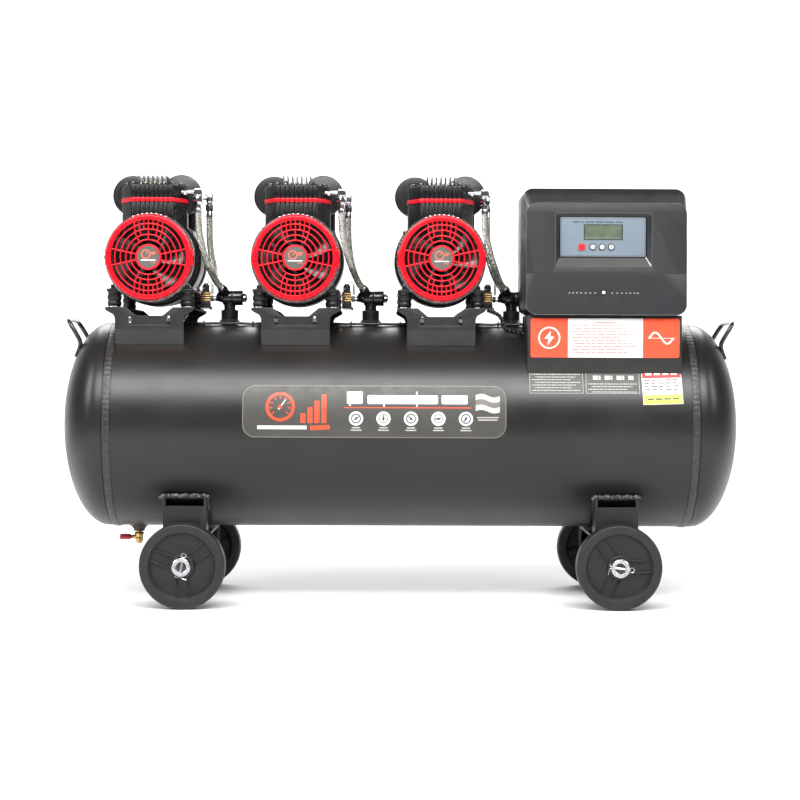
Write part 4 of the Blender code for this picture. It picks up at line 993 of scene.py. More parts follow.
def build_badge():
    """The long rounded badge: a plain dial mark, blank title bars, five round marks and three waves."""
    form = Form()
    pill = rounded(LABEL_LEFT_X, LABEL_RIGHT_X, LABEL_LOW_Z, LABEL_HIGH_Z, 0.0215, 14)
    inner = rounded(LABEL_LEFT_X + 0.0016, LABEL_RIGHT_X - 0.0016, LABEL_LOW_Z + 0.0016,
                    LABEL_HIGH_Z - 0.0016, 0.0199, 14)
    wrapped(form, pill, "grey_print", 0.0004)
    wrapped(form, pill, "badge_line", 0.0005, [inner])
    x, z = -0.1995, 0.3335
    wrapped(form, disc(x, z, 0.0240, 56), "orange", 0.0006, [disc(x, z, 0.0192, 56)])
    for step in range(9):
        a = math.radians(-40 + 32.5 * step)
        tick = [(x + math.cos(a) * r - math.sin(a) * w, z + math.sin(a) * r + math.cos(a) * w)
                for r, w in ((0.0130, -0.0008), (0.0178, -0.0008), (0.0178, 0.0008), (0.0130, 0.0008))]
        wrapped(form, tick, "orange", 0.0006)
    a = math.radians(52)
    needle = [(x + math.cos(a) * r - math.sin(a) * w, z + math.sin(a) * r + math.cos(a) * w)
              for r, w in ((-0.0050, -0.0018), (0.0155, -0.0004), (0.0155, 0.0004), (-0.0050, 0.0018))]
    wrapped(form, needle, "white", 0.0008)
    wrapped(form, disc(x, z, 0.0034, 24), "orange", 0.0009)
    for i in range(4):
        left = -0.1660 + i * 0.0115
        high = 0.3120 + 0.0105 * (i + 1)
        wrapped(form, strip(left, left + 0.0080, 0.3070, high), "orange", 0.0006)
    wrapped(form, strip(-0.2370, -0.1560, 0.2965, 0.3025), "white", 0.0006)
    wrapped(form, slanted(strip(-0.1500, -0.1180, 0.2960, 0.3030), -0.134, 0.2995, 0.06), "orange", 0.0006)
    for left, right, low, high in ((-0.0899, -0.0640, 0.3385, 0.3590), (-0.0560, 0.0600, 0.3385, 0.3530),
                                   (0.0660, 0.1090, 0.3385, 0.3530)):
        wrapped(form, rounded(left, right, low, high, 0.0022), "white", 0.0006)
    for left, right, low, high in ((-0.0860, -0.0835, 0.3355, 0.3590), (-0.0300, -0.0275, 0.3340, 0.3400),
                                   (0.0240, 0.0265, 0.3340, 0.3590)):
        wrapped(form, strip(left, right, low, high), "white", 0.0006)
    wrapped(form, strip(-0.0946, 0.1152, 0.3318, 0.3332), "orange", 0.0006)
    for i in range(5):
        x = -0.0748 + 0.0452 * i
        z = 0.3146
        wrapped(form, disc(x, z, 0.0117, 36), "white", 0.0006)
        wrapped(form, disc(x, z, 0.0082 - 0.0008 * (i % 2), 28), "print_dark", 0.0008,
                [disc(x, z, 0.0062, 24)])
        a = math.radians(35 + 50 * i)
        hand = [(x + math.cos(a) * r - math.sin(a) * w, z + math.sin(a) * r + math.cos(a) * w)
                for r, w in ((-0.0040, -0.0011), (0.0055, -0.0011), (0.0055, 0.0011), (-0.0040, 0.0011))]
        wrapped(form, hand, "print_dark", 0.0008)
        wrapped(form, disc(x, z, 0.0022, 18), "print_dark", 0.0009)
        wrapped(form, strip(x - 0.0068, x + 0.0068, 0.2985, 0.3004), "pale_print", 0.0006)
        wrapped(form, strip(x - 0.0090, x + 0.0090, 0.2945, 0.2964), "pale_print", 0.0006)
    for row, finish in enumerate(("pale_print", "badge_line", "pale_print")):
        low_edge = []
        high_edge = []
        for i in range(19):
            u = 0.1220 + 0.0400 * i / 18
            lift = 0.0024 * math.sin(math.tau * i / 18) + 0.0020 * (1 - i / 18)
            top = 0.3520 - row * 0.0088 + lift
            high_edge.append((u, top))
            low_edge.append((u, top - 0.0088))
        wrapped(form, high_edge + low_edge[::-1], finish, 0.0006)
    wrapped(form, strip(0.1240, 0.1600, 0.3160, 0.3178), "pale_print", 0.0006)
    wrapped(form, strip(0.1260, 0.1580, 0.3120, 0.3138), "pale_print", 0.0006)
    form.done("tank_badge", "frame", "tank_paint")


def build_plates():
    """Two dark data plates and a small three-colour one, with bars in place of small print."""
    form = Form()
    for left, right, title in ((0.2116, 0.3003, 0.0), (0.3047, 0.3937, 0.0096)):
        outer = rounded(left, right, PLATE_LOW_Z, PLATE_HIGH_Z, 0.0010, 3)
        inner = rounded(left + 0.0006, right - 0.0006, PLATE_LOW_Z + 0.0006, PLATE_HIGH_Z - 0.0006, 0.0008, 3)
        wrapped(form, outer, "plate_print", 0.0004)
        wrapped(form, outer, "pale_print", 0.0005, [inner])
        z = PLATE_HIGH_Z - 0.0048
        text_row(form, left + 0.0036, right - 0.0040, z, 0.0019, "pale_print", 0.0006, 3)
        if title:
            for i, width in enumerate((0.0090, 0.0030, 0.0120, 0.0030, 0.0150, 0.0030, 0.0110)):
                start = left + 0.0120 + i * 0.0098
                wrapped(form, strip(start, start + min(width, 0.0086), z - 0.0125, z - 0.0125 + 0.0068),
                        "pale_print", 0.0006)
            z -= 0.0155
        rows = 7 if not title else 4
        pitch = 0.0044
        for row in range(rows):
            z -= pitch
            text_row(form, left + 0.0036 + 0.0060 * (row % 2), right - 0.0050 - 0.0070 * (row % 3), z, 0.0012,
                     "pale_print",
                     0.0006, row)
    corner = (0.3978, 0.4640, 0.3397, 0.3978)
    middle_x = (corner[0] + corner[1]) / 2
    middle_z = (corner[2] + corner[3]) / 2
    parts = (("white", corner[2], corner[3], 0.0004), ("red_print", 0.3830, corner[3] - 0.0008, 0.0006),
             ("lime", corner[2] + 0.0008, 0.3560, 0.0006))
    for finish, low, high, lift in parts:
        inset = 0.0 if finish == "white" else 0.0008
        wrapped(form, slanted(strip(corner[0] + inset, corner[1] - inset, low, high), middle_x, middle_z,
                              0.03), finish, lift)
    for row in range(4):
        z = 0.3790 - row * 0.0052
        for i in range(5):
            left = 0.4020 + i * 0.0118
            bar = strip(left, left + 0.0092 - 0.0020 * ((i + row) % 3), z, z + 0.0018)
            wrapped(form, slanted(bar, middle_x, middle_z, 0.03), "red_print" if row == 0 else "print_dark",
                    0.0008)
    for i in range(4):
        left = 0.4050 + i * 0.0140
        wrapped(form, slanted(strip(left, left + 0.0100, 0.3880, 0.3925), middle_x, middle_z, 0.03), "white",
                0.0008)
        wrapped(form, slanted(strip(left, left + 0.0105, 0.3475, 0.3497), middle_x, middle_z, 0.03),
                "print_dark", 0.0008)
    form.done("tank_plates", "frame", "tank_paint")


FINISH["badge_line"] = make_finish("badge_line", (0.165, 0.155, 0.135), 0.42, vary=0.12, patch=60, grain=1700)
FINISH["red_print"] = make_finish("print_red", (0.70, 0.030, 0.030), 0.42, vary=0.10, patch=60, grain=1700)
FINISH["plate_print"] = make_finish("print_plate", (0.060, 0.058, 0.053), 0.42, vary=0.12, patch=40,
                                    grain=1700)
build_badge()
build_plates()


# Pumps

RIB_PITCH = 0.0077
RIB_COUNT = 9


def pump_form(k, side=-1, z=0.0):
    """A form whose X is counted from a pump's middle. The rear unit is the front one turned half round."""
    turn = Matrix.Rotation(math.pi, 4, "Z") if side > 0 else NOWHERE
    return Form(Matrix.Translation((PUMP_X[k], 0, z)) @ turn)


def soft_line(points, size, steps=3, closed=True):
    """A flat outline with its corners eased."""
    return [(p.x, p.y) for p in eased([(u, v, 0) for u, v in points], size, steps, closed)]


def hexagon(form, start, end, across, finish, turn=0.0, soft=0.0005):
    """A six-sided nut from one point to another, with chamfered ends."""
    start = Vector(start)
    run = Vector(end) - start
    corner = across / math.sqrt(3)
    shape = bmesh.new()
    rings = []
    for height, share in ((0, 0.90), (soft * 1.6, 1.0), (run.length - soft * 1.6, 1.0), (run.length, 0.90)):
        rings.append([
            shape.verts.new((corner * share * math.cos(math.radians(60 * i + turn)),
                             corner * share * math.sin(math.radians(60 * i + turn)),
                             height)) for i in range(6)
        ])
    for one, two in zip(rings, rings[1:]):
        for i in range(6):
            shape.faces.new((one[i], one[(i + 1) % 6], two[(i + 1) % 6], two[i]))
    shape.faces.new(rings[0])
    shape.faces.new(rings[-1])
    upright = [e for e in shape.edges if abs(e.verts[0].co.z - e.verts[1].co.z) > soft * 2]
    bmesh.ops.bevel(shape, geom=upright, offset=soft * 0.6, segments=2, profile=0.5, affect="EDGES")
    form.take(shape, finish, along(run.normalized(), start))


def bent_plate(form, outline, holes, side, front, sheet, bend_z, slope, finish):
    """An upright sheet whose lower part leans in towards the tank below a bend."""
    flat = Form()
    flat.slab(outline, -sheet / 2, sheet / 2, finish, "Y", holes, soft=0.0005)
    shape = bmesh.new()
    verts = [shape.verts.new(point) for point in flat.points]
    for face in flat.faces:
        shape.faces.new([verts[i] for i in face])
    for step in range(-3, 4):
        bmesh.ops.bisect_plane(shape, geom=shape.verts[:] + shape.edges[:] + shape.faces[:],
                               plane_co=(0, 0, bend_z + step * 0.0007), plane_no=(0, 0, 1))
    for vert in shape.verts:
        below = bend_z + 0.002 - vert.co.z
        lean = 0.0 if below < 0 else slope * (below**2 / 0.008 if below < 0.004 else below - 0.002)
        vert.co.y = side * (front - sheet / 2 - lean) + vert.co.y
    form.take(shape, finish)


def build_saddle(k):
    """Two bent sheet plates on the tank, joined by strips, with bolts in keyholes."""
    low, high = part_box(f"pump_{k}_saddle")
    top = high.z
    ear = (high.x - low.x) / 2
    front = high.y
    half = [
        (0.0221, top - 0.0142), (0.0392, top), (ear, top), (ear - 0.0006, top - 0.0052),
            (ear - 0.0085, top - 0.0098),
        (0.0606, top - 0.0125), (0.0580, top - 0.0175), (0.0575, top - 0.0240), (0.0575, 0.4345),
    ]
    outline = soft_line(half + [(-u, v) for u, v in reversed(half)], 0.0016)
    form = pump_form(k)
    for side in (-1, 1):
        slots = [soft_line([(u - 0.0018, 0.4690), (u + 0.0018, 0.4690), (u + 0.0018, 0.4835),
                            (u - 0.0018, 0.4835)],
                           0.0016) for u in (-0.0323, 0.0323)]
        bent_plate(form, outline, slots, side, front, 0.0030, 0.4610, 0.26, "bracket")
        axis = "-Y" if side < 0 else "Y"
        for u in (-0.0323, 0.0323):
            form.turned([(0.0, 0.0001), (0.0036, 0.0001), (0.0036, 0.0008), (0.0030, 0.0012), (0.0, 0.0012)],
                        "steel_dark", axis, (u, side * front, 0.4765), 28)
            y = side * (front + 0.0010)
            hexagon(form, (u, y, 0.4765), (u, y + side * 0.0024, 0.4765), 0.0054, "zinc", 12, 0.0003)
        for u in (-1, 1):
            left, right = sorted((u * 0.0396, u * (ear - 0.0006)))
            form.box((left, -front + 0.002, top - 0.0030), (right, front - 0.002, top - 0.0001), "bracket",
                     0.0006)
    form.done(f"saddle_sheet_{k}", "frame", "bracket_paint", f"pump_{k}_saddle")


def build_feet(k):
    """Four bulged rubber mounts with washers and studs under a black foot frame."""
    low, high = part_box(f"pump_{k}_feet")
    reach = (high.x - low.x) / 2
    far = high.y
    bar = high.z - 0.0050
    form = pump_form(k)
    for side in (-1, 1):
        near, end = sorted((side * (far - 0.0240), side * far))
        form.box((-reach, near, bar), (reach, end, high.z), "moulding", 0.0014, 3)
        left, right = sorted((side * reach, side * (reach - 0.0060)))
        form.box((left, -far + 0.012, bar + 0.0004), (right, far - 0.012, high.z - 0.0004), "moulding",
                 0.0010)
        for u in (-0.0610, 0.0610):
            y = side * 0.0950
            base = low.z
            form.turned([(0, base), (0.0102, base), (0.0106, base + 0.0004), (0.0104, base + 0.0014),
                         (0, base + 0.0015)],
                        "zinc", "Z", (u, y, 0), 36)
            profile = [(0.0, 0.0015), (0.0100, 0.0015), (0.0112, 0.0028), (0.0119, 0.0060), (0.0116, 0.0088),
                       (0.0104, 0.0104), (0.0104, 0.0112), (0.0117, 0.0128), (0.0121, 0.0160),
                       (0.0119, 0.0196),
                       (0.0106, 0.0212), (0.0106, 0.0222), (0.0116, 0.0236), (0.0112, 0.0256), (0.0, 0.0256)]
            form.turned([(r, base + h) for r, h in profile], "rubber", "Z", (u, y, 0), 44)
            form.turned([(0, high.z - 0.0001), (0.0085, high.z - 0.0001), (0.0085, high.z + 0.0010),
                         (0, high.z + 0.0010)],
                        "steel_dark", "Z", (u, y, 0), 30)
            hexagon(form, (u, y, high.z + 0.0009), (u, y, high.z + 0.0060), 0.0100, "zinc", 20 * side)
    form.done(f"mount_frame_{k}", "frame", "feet", f"pump_{k}_feet")


def ribbed_outline(grow=0.0):
    """A block seen from above: a ribbed front face, slanted front corners and straight flanks."""
    points = []
    edge = RIB_COUNT * RIB_PITCH / 2
    steps = 10
    for i in range(RIB_COUNT * steps + 1):
        x = -edge + i * RIB_PITCH / steps
        swell = abs(math.cos(math.pi * x / RIB_PITCH)) ** 0.7
        points.append((x, -0.0812 - grow - 0.0022 * swell))
    right = soft_line([(edge, -0.0812), (edge + 0.0008, -0.0806), (0.0556, -0.0420), (0.0556, -0.0262)],
                      0.0020, 3, False)
    line = points + [(x + grow, y - grow * 0.5) for x, y in right[1:]]
    return line + [(-x - grow, y - grow * 0.5) for x, y in reversed(right[1:])]


def build_body(k):
    """A laminated stator between two castings, each a round crankcase under a ribbed cylinder block."""
    block_top = BLOCK_TOP_Z
    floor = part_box(f"pump_{k}_feet")[1].z + GAP
    form = pump_form(k, -1, 0.0)
    form.turned([(0.046, -0.0300), (0.0780, -0.0300), (0.0786, -0.0294), (0.0786, 0.0294), (0.0780, 0.0300),
                 (0.046, 0.0300)], "lamination", "Y", (0, 0, SHAFT_Z), 96)
    for angle in (38, 142, 218, 322):
        a = math.radians(angle)
        spot = (0.0790 * math.cos(a), SHAFT_Z + 0.0790 * math.sin(a))
        form.rod((spot[0] * 0.985, -0.0330, spot[1]), (spot[0] * 0.985, 0.0330, spot[1]), 0.0034,
                 "steel_dark", steps=20)
    for side in (-1, 1):
        half = pump_form(k, side)
        half.turned([(0.0440, 0.0295), (0.0760, 0.0295), (0.0766, 0.0302), (0.0766, 0.0345), (0.0752, 0.0362),
                     (0.0705, 0.0368), (0.0670, 0.0400), (0.0560, 0.0440), (0.0540, 0.0520),
                     (0.0500, 0.0540)],
                    "casting", "-Y", (0, 0, SHAFT_Z), 96)
        half.turned([(0.0620, 0.1090), (0.0742, 0.1090), (0.0752, 0.1096), (0.0752, 0.1116), (0.0746, 0.1122),
                     (0.0620, 0.1122)], "zinc", "-Y", (0, 0, SHAFT_Z), 96, closed=True)
        half.turned([(0.0480, 0.1040), (0.0720, 0.1040), (0.0728, 0.1048), (0.0728, 0.1092),
                     (0.0480, 0.1092)],
                    "casting", "-Y", (0, 0, SHAFT_Z), 96, closed=True)
        half.turned([(0.0500, 0.0500), (0.0502, 0.0900), (0.0515, 0.0910), (0.0515, 0.0975), (0.0500, 0.0985),
                     (0.0495, 0.1075), (0.0480, 0.1090), (0.0200, 0.1092), (0.0185, 0.1085), (0.0170, 0.1092),
                     (0.0090, 0.1096), (0.0, 0.1096)], "casting", "-Y", (0, 0, SHAFT_Z), 72)
        for i in range(6):
            a = math.radians(30 + 60 * i)
            spot = Vector((0.0440 * math.cos(a), -0.1088, SHAFT_Z + 0.0440 * math.sin(a)))
            half.rod(spot, spot + Vector((0, -0.0026, 0)), 0.0030, "steel_dark", steps=18)
        half.slab(ribbed_outline(), 0.6290, block_top, "casting", "Z", soft=0.0006)
        waist = [(-0.0440, -0.0700), (0.0440, -0.0700), (0.0480, -0.0600), (0.0480, -0.0270),
                 (-0.0480, -0.0270),
                 (-0.0480, -0.0600)]
        half.slab(soft_line(waist, 0.0030), floor + 0.0002, 0.6300, "casting", "Z", soft=0.0010)
        half.box((-0.0660, -0.1070, floor + 0.0001), (0.0660, -0.0800, floor + 0.0064), "casting", 0.0012, 3)
        for u in (-1, 1):
            half.box((u * 0.0470 - 0.0020, -0.1040, floor + 0.004),
                     (u * 0.0470 + 0.0020, -0.0600, SHAFT_Z - 0.022),
                     "casting", 0.0008)
            for v in (-0.0870, -0.1010):
                half.rod((u * 0.0600, v, floor + 0.0060), (u * 0.0600, v, floor + 0.0092), 0.0034, "zinc",
                         steps=20)
        form.join_with(half)
    form.box((0.0470, 0.0300, 0.6290), (0.0617, 0.0700, BLOCK_TOP_Z - 0.0010), "moulding", 0.0012, 3)
    form.done(f"motor_block_{k}", "frame", "pump_casting", f"pump_{k}_body")


def build_head(k, side):
    """A red valve plate, a ribbed head with upright fins, an air filter behind it and an outlet elbow."""
    word = "front" if side < 0 else "back"
    node = f"pump_{k}_head_{word}"
    plate = BLOCK_TOP_Z + GAP
    top = HEAD_TOP_Z
    fin_top = FIN_TOP_Z
    form = pump_form(k, side)
    form.slab(ribbed_outline(0.0012), plate, plate + 0.0072, "gasket", "Z", soft=0.0007)
    form.slab(ribbed_outline(), plate + 0.0068, top, "casting", "Z", soft=0.0009)
    fins = 7
    for fin in range(fins):
        x = (fin - (fins - 1) / 2) * RIB_PITCH
        outline = soft_line([(-0.0812, top - 0.002), (-0.0812, fin_top - 0.0030), (-0.0780, fin_top),
                             (-0.0310, fin_top), (-0.0282, fin_top - 0.0030), (-0.0282, top - 0.002)], 0.0012)
        form.slab(outline, x - 0.0008, x + 0.0008, "casting", "X", soft=0.0005)
        # A thin pale rod down each fin's front edge is a painted highlight
        form.rod((x + 0.0009, -0.0812, top + 0.0020), (x + 0.0009, -0.0806, fin_top - 0.0030), 0.0005, "edge",
                 steps=10)
        # Pale boxes low between the fins are a painted glint, standing for light caught in the gaps
        if fin < fins - 1:
            form.box((x + 0.0022, -0.0780, top - 0.001),
                     (x + 0.0055, -0.0300, top + 0.0040 + 0.0012 * (fin % 2)),
                     "gap_glint", 0.0006)
    for u, v in ((-0.0455, -0.0480), (0.0455, -0.0480), (-0.0470, -0.0320), (0.0470, -0.0320),
                 (-0.0325, -0.0700),
                 (0.0325, -0.0700)):
        form.turned([(0, top - 0.0005), (0.0052, top - 0.0005), (0.0052, top + 0.0010), (0, top + 0.0010)],
                    "steel_dark",
                    "Z", (u, v, 0), 24)
        hexagon(form, (u, v, top + 0.0009), (u, v, top + 0.0060), 0.0078, "steel_dark", u * 3000)
    filter_x = FILTER_X
    back = 0.0262
    steps = [(0.0, 0.0016), (0.0300, 0.0016), (0.0332, 0.0024), (0.0347, 0.0040), (0.0350, 0.0075),
             (0.0350, 0.0105),
             (0.0337, 0.0112), (0.0337, 0.0132), (0.0349, 0.0139), (0.0349, 0.0168), (0.0327, 0.0176),
             (0.0327, 0.0196), (0.0341, 0.0202), (0.0341, 0.0226), (0.0300, 0.0246), (0.0150, 0.0252),
             (0.0120, back), (0.0, back)]
    form.turned([(r, h) for r, h in steps], "moulding", "-Y", (filter_x, 0, FILTER_Z), 84)
    form.ring(0.0250, 0.0018, 0.0012, "moulding", (filter_x, -0.0014, FILTER_Z), 64)
    # Sixteen dark rods on the filter's face are painted shade for its intake slots
    for i in range(16):
        a = math.tau * i / 16
        spot = Vector((filter_x + 0.0206 * math.cos(a), -0.0019, FILTER_Z + 0.0206 * math.sin(a)))
        end = Vector((filter_x + 0.0130 * math.cos(a), -0.0019, FILTER_Z + 0.0130 * math.sin(a)))
        form.rod(spot, end, 0.0009, "hole_shade", steps=8)
    way = -side
    fitting = FRONT_FITTING_X if side < 0 else BACK_FITTING_X
    reach = fitting * way
    y = -FITTING_Y
    z = FITTING_Z
    root = 0.0470 * way
    form.rod((root, y, z), (reach - way * 0.0050, y, z), 0.0043, "chrome", steps=28)
    hexagon(form, (0.0500 * way, y, z), (0.0560 * way, y, z), 0.0110, "chrome", 15)
    if side < 0:
        form.box((reach - 0.0072, y - 0.0066, z - 0.0066), (reach + 0.0072, y + 0.0066, z + 0.0066), "chrome",
                 0.0024, 4)
        form.rod((reach, y, z + 0.0058), (reach, y, z + 0.0070), 0.0046, "chrome", steps=24)
        hexagon(form, (reach, y, z - 0.0062), (reach, y, z - 0.0200), 0.0158, "chrome", 4, 0.0008)
        form.rod((reach, y, z - 0.0198), (reach, y, z - 0.0245), 0.0044, "zinc", steps=24)
        form.turned([(0.0, -0.0240), (0.0050, -0.0240), (0.0056, -0.0246), (0.0056, -0.0262),
                     (0.0052, -0.0268),
                     (0.0056, -0.0274), (0.0060, -0.0300), (0.0060, -0.0345), (0.0, -0.0345)], "zinc", "Z",
                    (reach, y, z), 36)
    else:
        form.turned([(0.0, -0.0070), (0.0058, -0.0070), (0.0062, -0.0050), (0.0062, 0.0050), (0.0056, 0.0062),
                     (0.0, 0.0066)], "zinc", "Z", (reach, y, z), 36)
        hexagon(form, (reach, y, z - 0.0066), (reach, y, z - 0.0100), 0.0100, "chrome", 20)
        form.rod((reach, y, z - 0.0098), (reach, y, z - 0.0120), 0.0044, "zinc", steps=24)
        hexagon(form, (reach, y, z - 0.0116), (reach, y, z - 0.0236), 0.0128, "steel_dark", 4, 0.0007)
        form.turned([(0.0, -0.0230), (0.0048, -0.0230), (0.0052, -0.0262), (0.0058, -0.0280),
                     (0.0060, -0.0345),
                     (0.0, -0.0345)], "zinc", "Z", (reach, y, z), 36)
    form.done(f"head_{word}_{k}", "frame", "head_casting", node)


def guard_bar(form, points, width=0.0011):
    """One moulded bar of a guard, given in (x, z) from the shaft."""
    path = smooth_run([(u, -0.1308, v) for u, v in points], 5) if len(points) > 2 else [
        Vector((u, -0.1308, v)) for u, v in points
    ]
    form.sweep(path, width, "red", 10)


def build_guard(k, side):
    """A red moulded cup: a rounded rim, four rings, bars above and below, spokes at the sides and a badge."""
    word = "front" if side < 0 else "back"
    node = f"pump_{k}_guard_{word}"
    form = pump_form(k, side, SHAFT_Z)
    rim = [
        (0.0623, 0.1290), (0.0623, 0.1310), (0.0630, 0.1320), (0.0645, 0.1324), (0.0664, 0.1322),
           (0.0668, 0.1317),
        (0.0674, 0.1317), (0.0678, 0.1321), (0.0690, 0.1320), (0.0706, 0.1306), (0.0714, 0.1280),
           (0.0715, 0.1250),
        (0.0715, 0.1140), (0.0708, 0.1132), (0.0696, 0.1132), (0.0693, 0.1240), (0.0676, 0.1280),
           (0.0640, 0.1290),
    ]
    form.turned(rim, "red", "-Y", steps=144, closed=True)
    for radius in (0.0558, 0.0466, 0.0376, 0.0290):
        form.ring(radius, 0.0022, 0.0028, "red", (0, -0.1306, 0), 120, soft=0.0007)
    form.turned([(0.0, 0.1285), (0.0214, 0.1285), (0.0220, 0.1295), (0.0220, 0.1316), (0.0212, 0.1328),
                 (0.0196, 0.1333),
                 (0.0187, 0.1330), (0.0183, 0.1324), (0.0, 0.1324)], "red", "-Y", steps=96)
    form.turned([(0.0, 0.1323), (0.0181, 0.1323), (0.0182, 0.1326), (0.0, 0.1327)], "badge", "-Y", steps=72)
    form.ring(0.0069, 0.0017, 0.0004, "coral", (-0.0040, -0.1328, 0.0044), 48, soft=0.0001)
    form.sweep([(-0.0040, -0.1329, 0.0044), (-0.0002, -0.1329, 0.0082)], 0.0008, "coral", 8)
    for left, right, z in ((0.0046, 0.0128, 0.0068), (0.0046, 0.0110, 0.0038)):
        form.box((left, -0.1330, z), (right, -0.1325, z + 0.0018), "coral", 0.0002)
    form.box((-0.0124, -0.1330, -0.0062), (0.0122, -0.1325, -0.0042), "white", 0.0002)
    form.box((0.0042, -0.1330, -0.0098), (0.0116, -0.1325, -0.0086), "coral", 0.0002)
    for u in (-1, 1):
        for v in (-1, 1):
            guard_bar(form, [(u * 0.0215, v * 0.0051), (u * 0.0635, v * 0.0141)], 0.0013)
            guard_bar(form, [(u * 0.0077, v * 0.0640), (u * 0.0077, v * 0.0455)])
            guard_bar(form, [(u * 0.0155, v * 0.0625), (u * 0.0154, v * 0.0520), (u * 0.0140, v * 0.0420),
                             (u * 0.0124, v * 0.0352)])
            guard_bar(form, [(u * 0.0237, v * 0.0600), (u * 0.0232, v * 0.0480), (u * 0.0205, v * 0.0360),
                             (u * 0.0148, v * 0.0246)])
        form.box((u * 0.0700 - 0.0030, -0.1262, -0.0137), (u * 0.0700 + 0.0034, -0.1136, 0.0137), "red",
                 0.0014, 3)
        form.box((u * 0.0732 - 0.0016, -0.1220, -0.0030), (u * 0.0732 + 0.0018, -0.1160, 0.0030), "casting",
                 0.0006)
    for v in (-1, 1):
        guard_bar(form, [(0.0, v * 0.0640), (0.0, v * 0.0285)])
        for i in range(-4, 5):
            x = i * 0.0077
            z = math.sqrt(0.0708**2 - x**2)
            form.turned([(0.0, -0.0022), (0.0016, -0.0022), (0.0018, 0.0002), (0.0012, 0.0018),
                         (0.0, 0.0024)], "red",
                        Vector((x, 0, z * v)).normalized(), (x, -0.1262, z * v), 16)
    for i in range(-4, 4):
        x = (i + 0.5) * 0.0077
        z = math.sqrt(0.0728**2 - x**2)
        form.box((x - 0.0016, -0.1215, z - 0.0018), (x + 0.0016, -0.1175, z + 0.0012), "chrome", 0.0006)
    form.done(f"fan_guard_{word}_{k}", "frame", "guard_red", node, angle=40)


def fan_blade(form, start):
    """One twisted blade, thin and slightly curved."""
    rows = 10
    columns = 7
    points = []
    for layer in (-0.0006, 0.0006):
        for i in range(rows + 1):
            t = i / rows
            r = 0.0155 + (0.0596 - 0.0155) * t
            span = 0.62 - 0.16 * t
            for j in range(columns + 1):
                s = j / columns - 0.5
                angle = start + s * span + 0.22 * t
                depth = -0.1188 + s * 0.0110 - 0.0016 * math.cos(math.pi * s) + layer
                points.append((r * math.cos(angle), depth, r * math.sin(angle)))
    wide = columns + 1
    size = (rows + 1) * wide
    faces = []
    for i in range(rows):
        for j in range(columns):
            a = i * wide + j
            faces.append([a, a + 1, a + wide + 1, a + wide])
            faces.append([size + a, size + a + wide, size + a + wide + 1, size + a + 1])
    rim = [j for j in range(wide)] + [i * wide + columns for i in range(1, rows + 1)]
    rim += [rows * wide + j for j in range(columns - 1, -1, -1)] + [i * wide for i in range(rows - 1, 0, -1)]
    for a, b in zip(rim, rim[1:] + rim[:1]):
        faces.append([a, b, size + b, size + a])
    form.add(points, faces, "fan")


def build_rotor(k):
    """The shaft with a rotor core and a seven-bladed fan at each end."""
    form = pump_form(k, -1, SHAFT_Z)
    form.rod((0, -0.1272, 0), (0, 0.1272, 0), 0.0058, "steel_dark", steps=32)
    form.turned([(0.0, -0.0225), (0.0420, -0.0225), (0.0424, -0.0220), (0.0424, 0.0220), (0.0420, 0.0225),
                 (0.0, 0.0225)],
                "lamination", "Y", steps=64)
    for side in (-1, 1):
        end = pump_form(k, side, SHAFT_Z)
        end.turned([(0.0060, 0.1112), (0.0168, 0.1112), (0.0172, 0.1118), (0.0172, 0.1200), (0.0160, 0.1232),
                    (0.0120, 0.1246), (0.0062, 0.1250)], "fan", "-Y", steps=56)
        for blade in range(7):
            fan_blade(end, blade * math.tau / 7 + 0.35 + 0.4 * k)
        form.join_with(end)
    form.done(f"fan_rotor_{k}", f"rotor_{k}", "rotor", f"pump_{k}_rotor")


# A pale metallic finish for the boxes between the head fins: a painted glint
FINISH["gap_glint"] = make_finish("painted_fin_glint", (0.34, 0.31, 0.26), 0.34, metal=0.75, vary=0.4, patch=160,
                              grain=1500)
FINISH["badge"] = make_finish("badge_grey", (0.115, 0.108, 0.098), 0.36, vary=0.12, patch=60, grain=1700,
                              depth=0.00004,
                              strength=0.1)
FINISH["coral"] = make_finish("badge_coral", (0.80, 0.16, 0.09), 0.40, vary=0.08, patch=90, grain=1700,
                              depth=0.00004,
                              strength=0.1)
for k in PUMPS:
    build_saddle(k)
    build_feet(k)
    build_body(k)
    build_rotor(k)
    for side in (-1, 1):
        build_head(k, side)
        build_guard(k, side)


# Valves

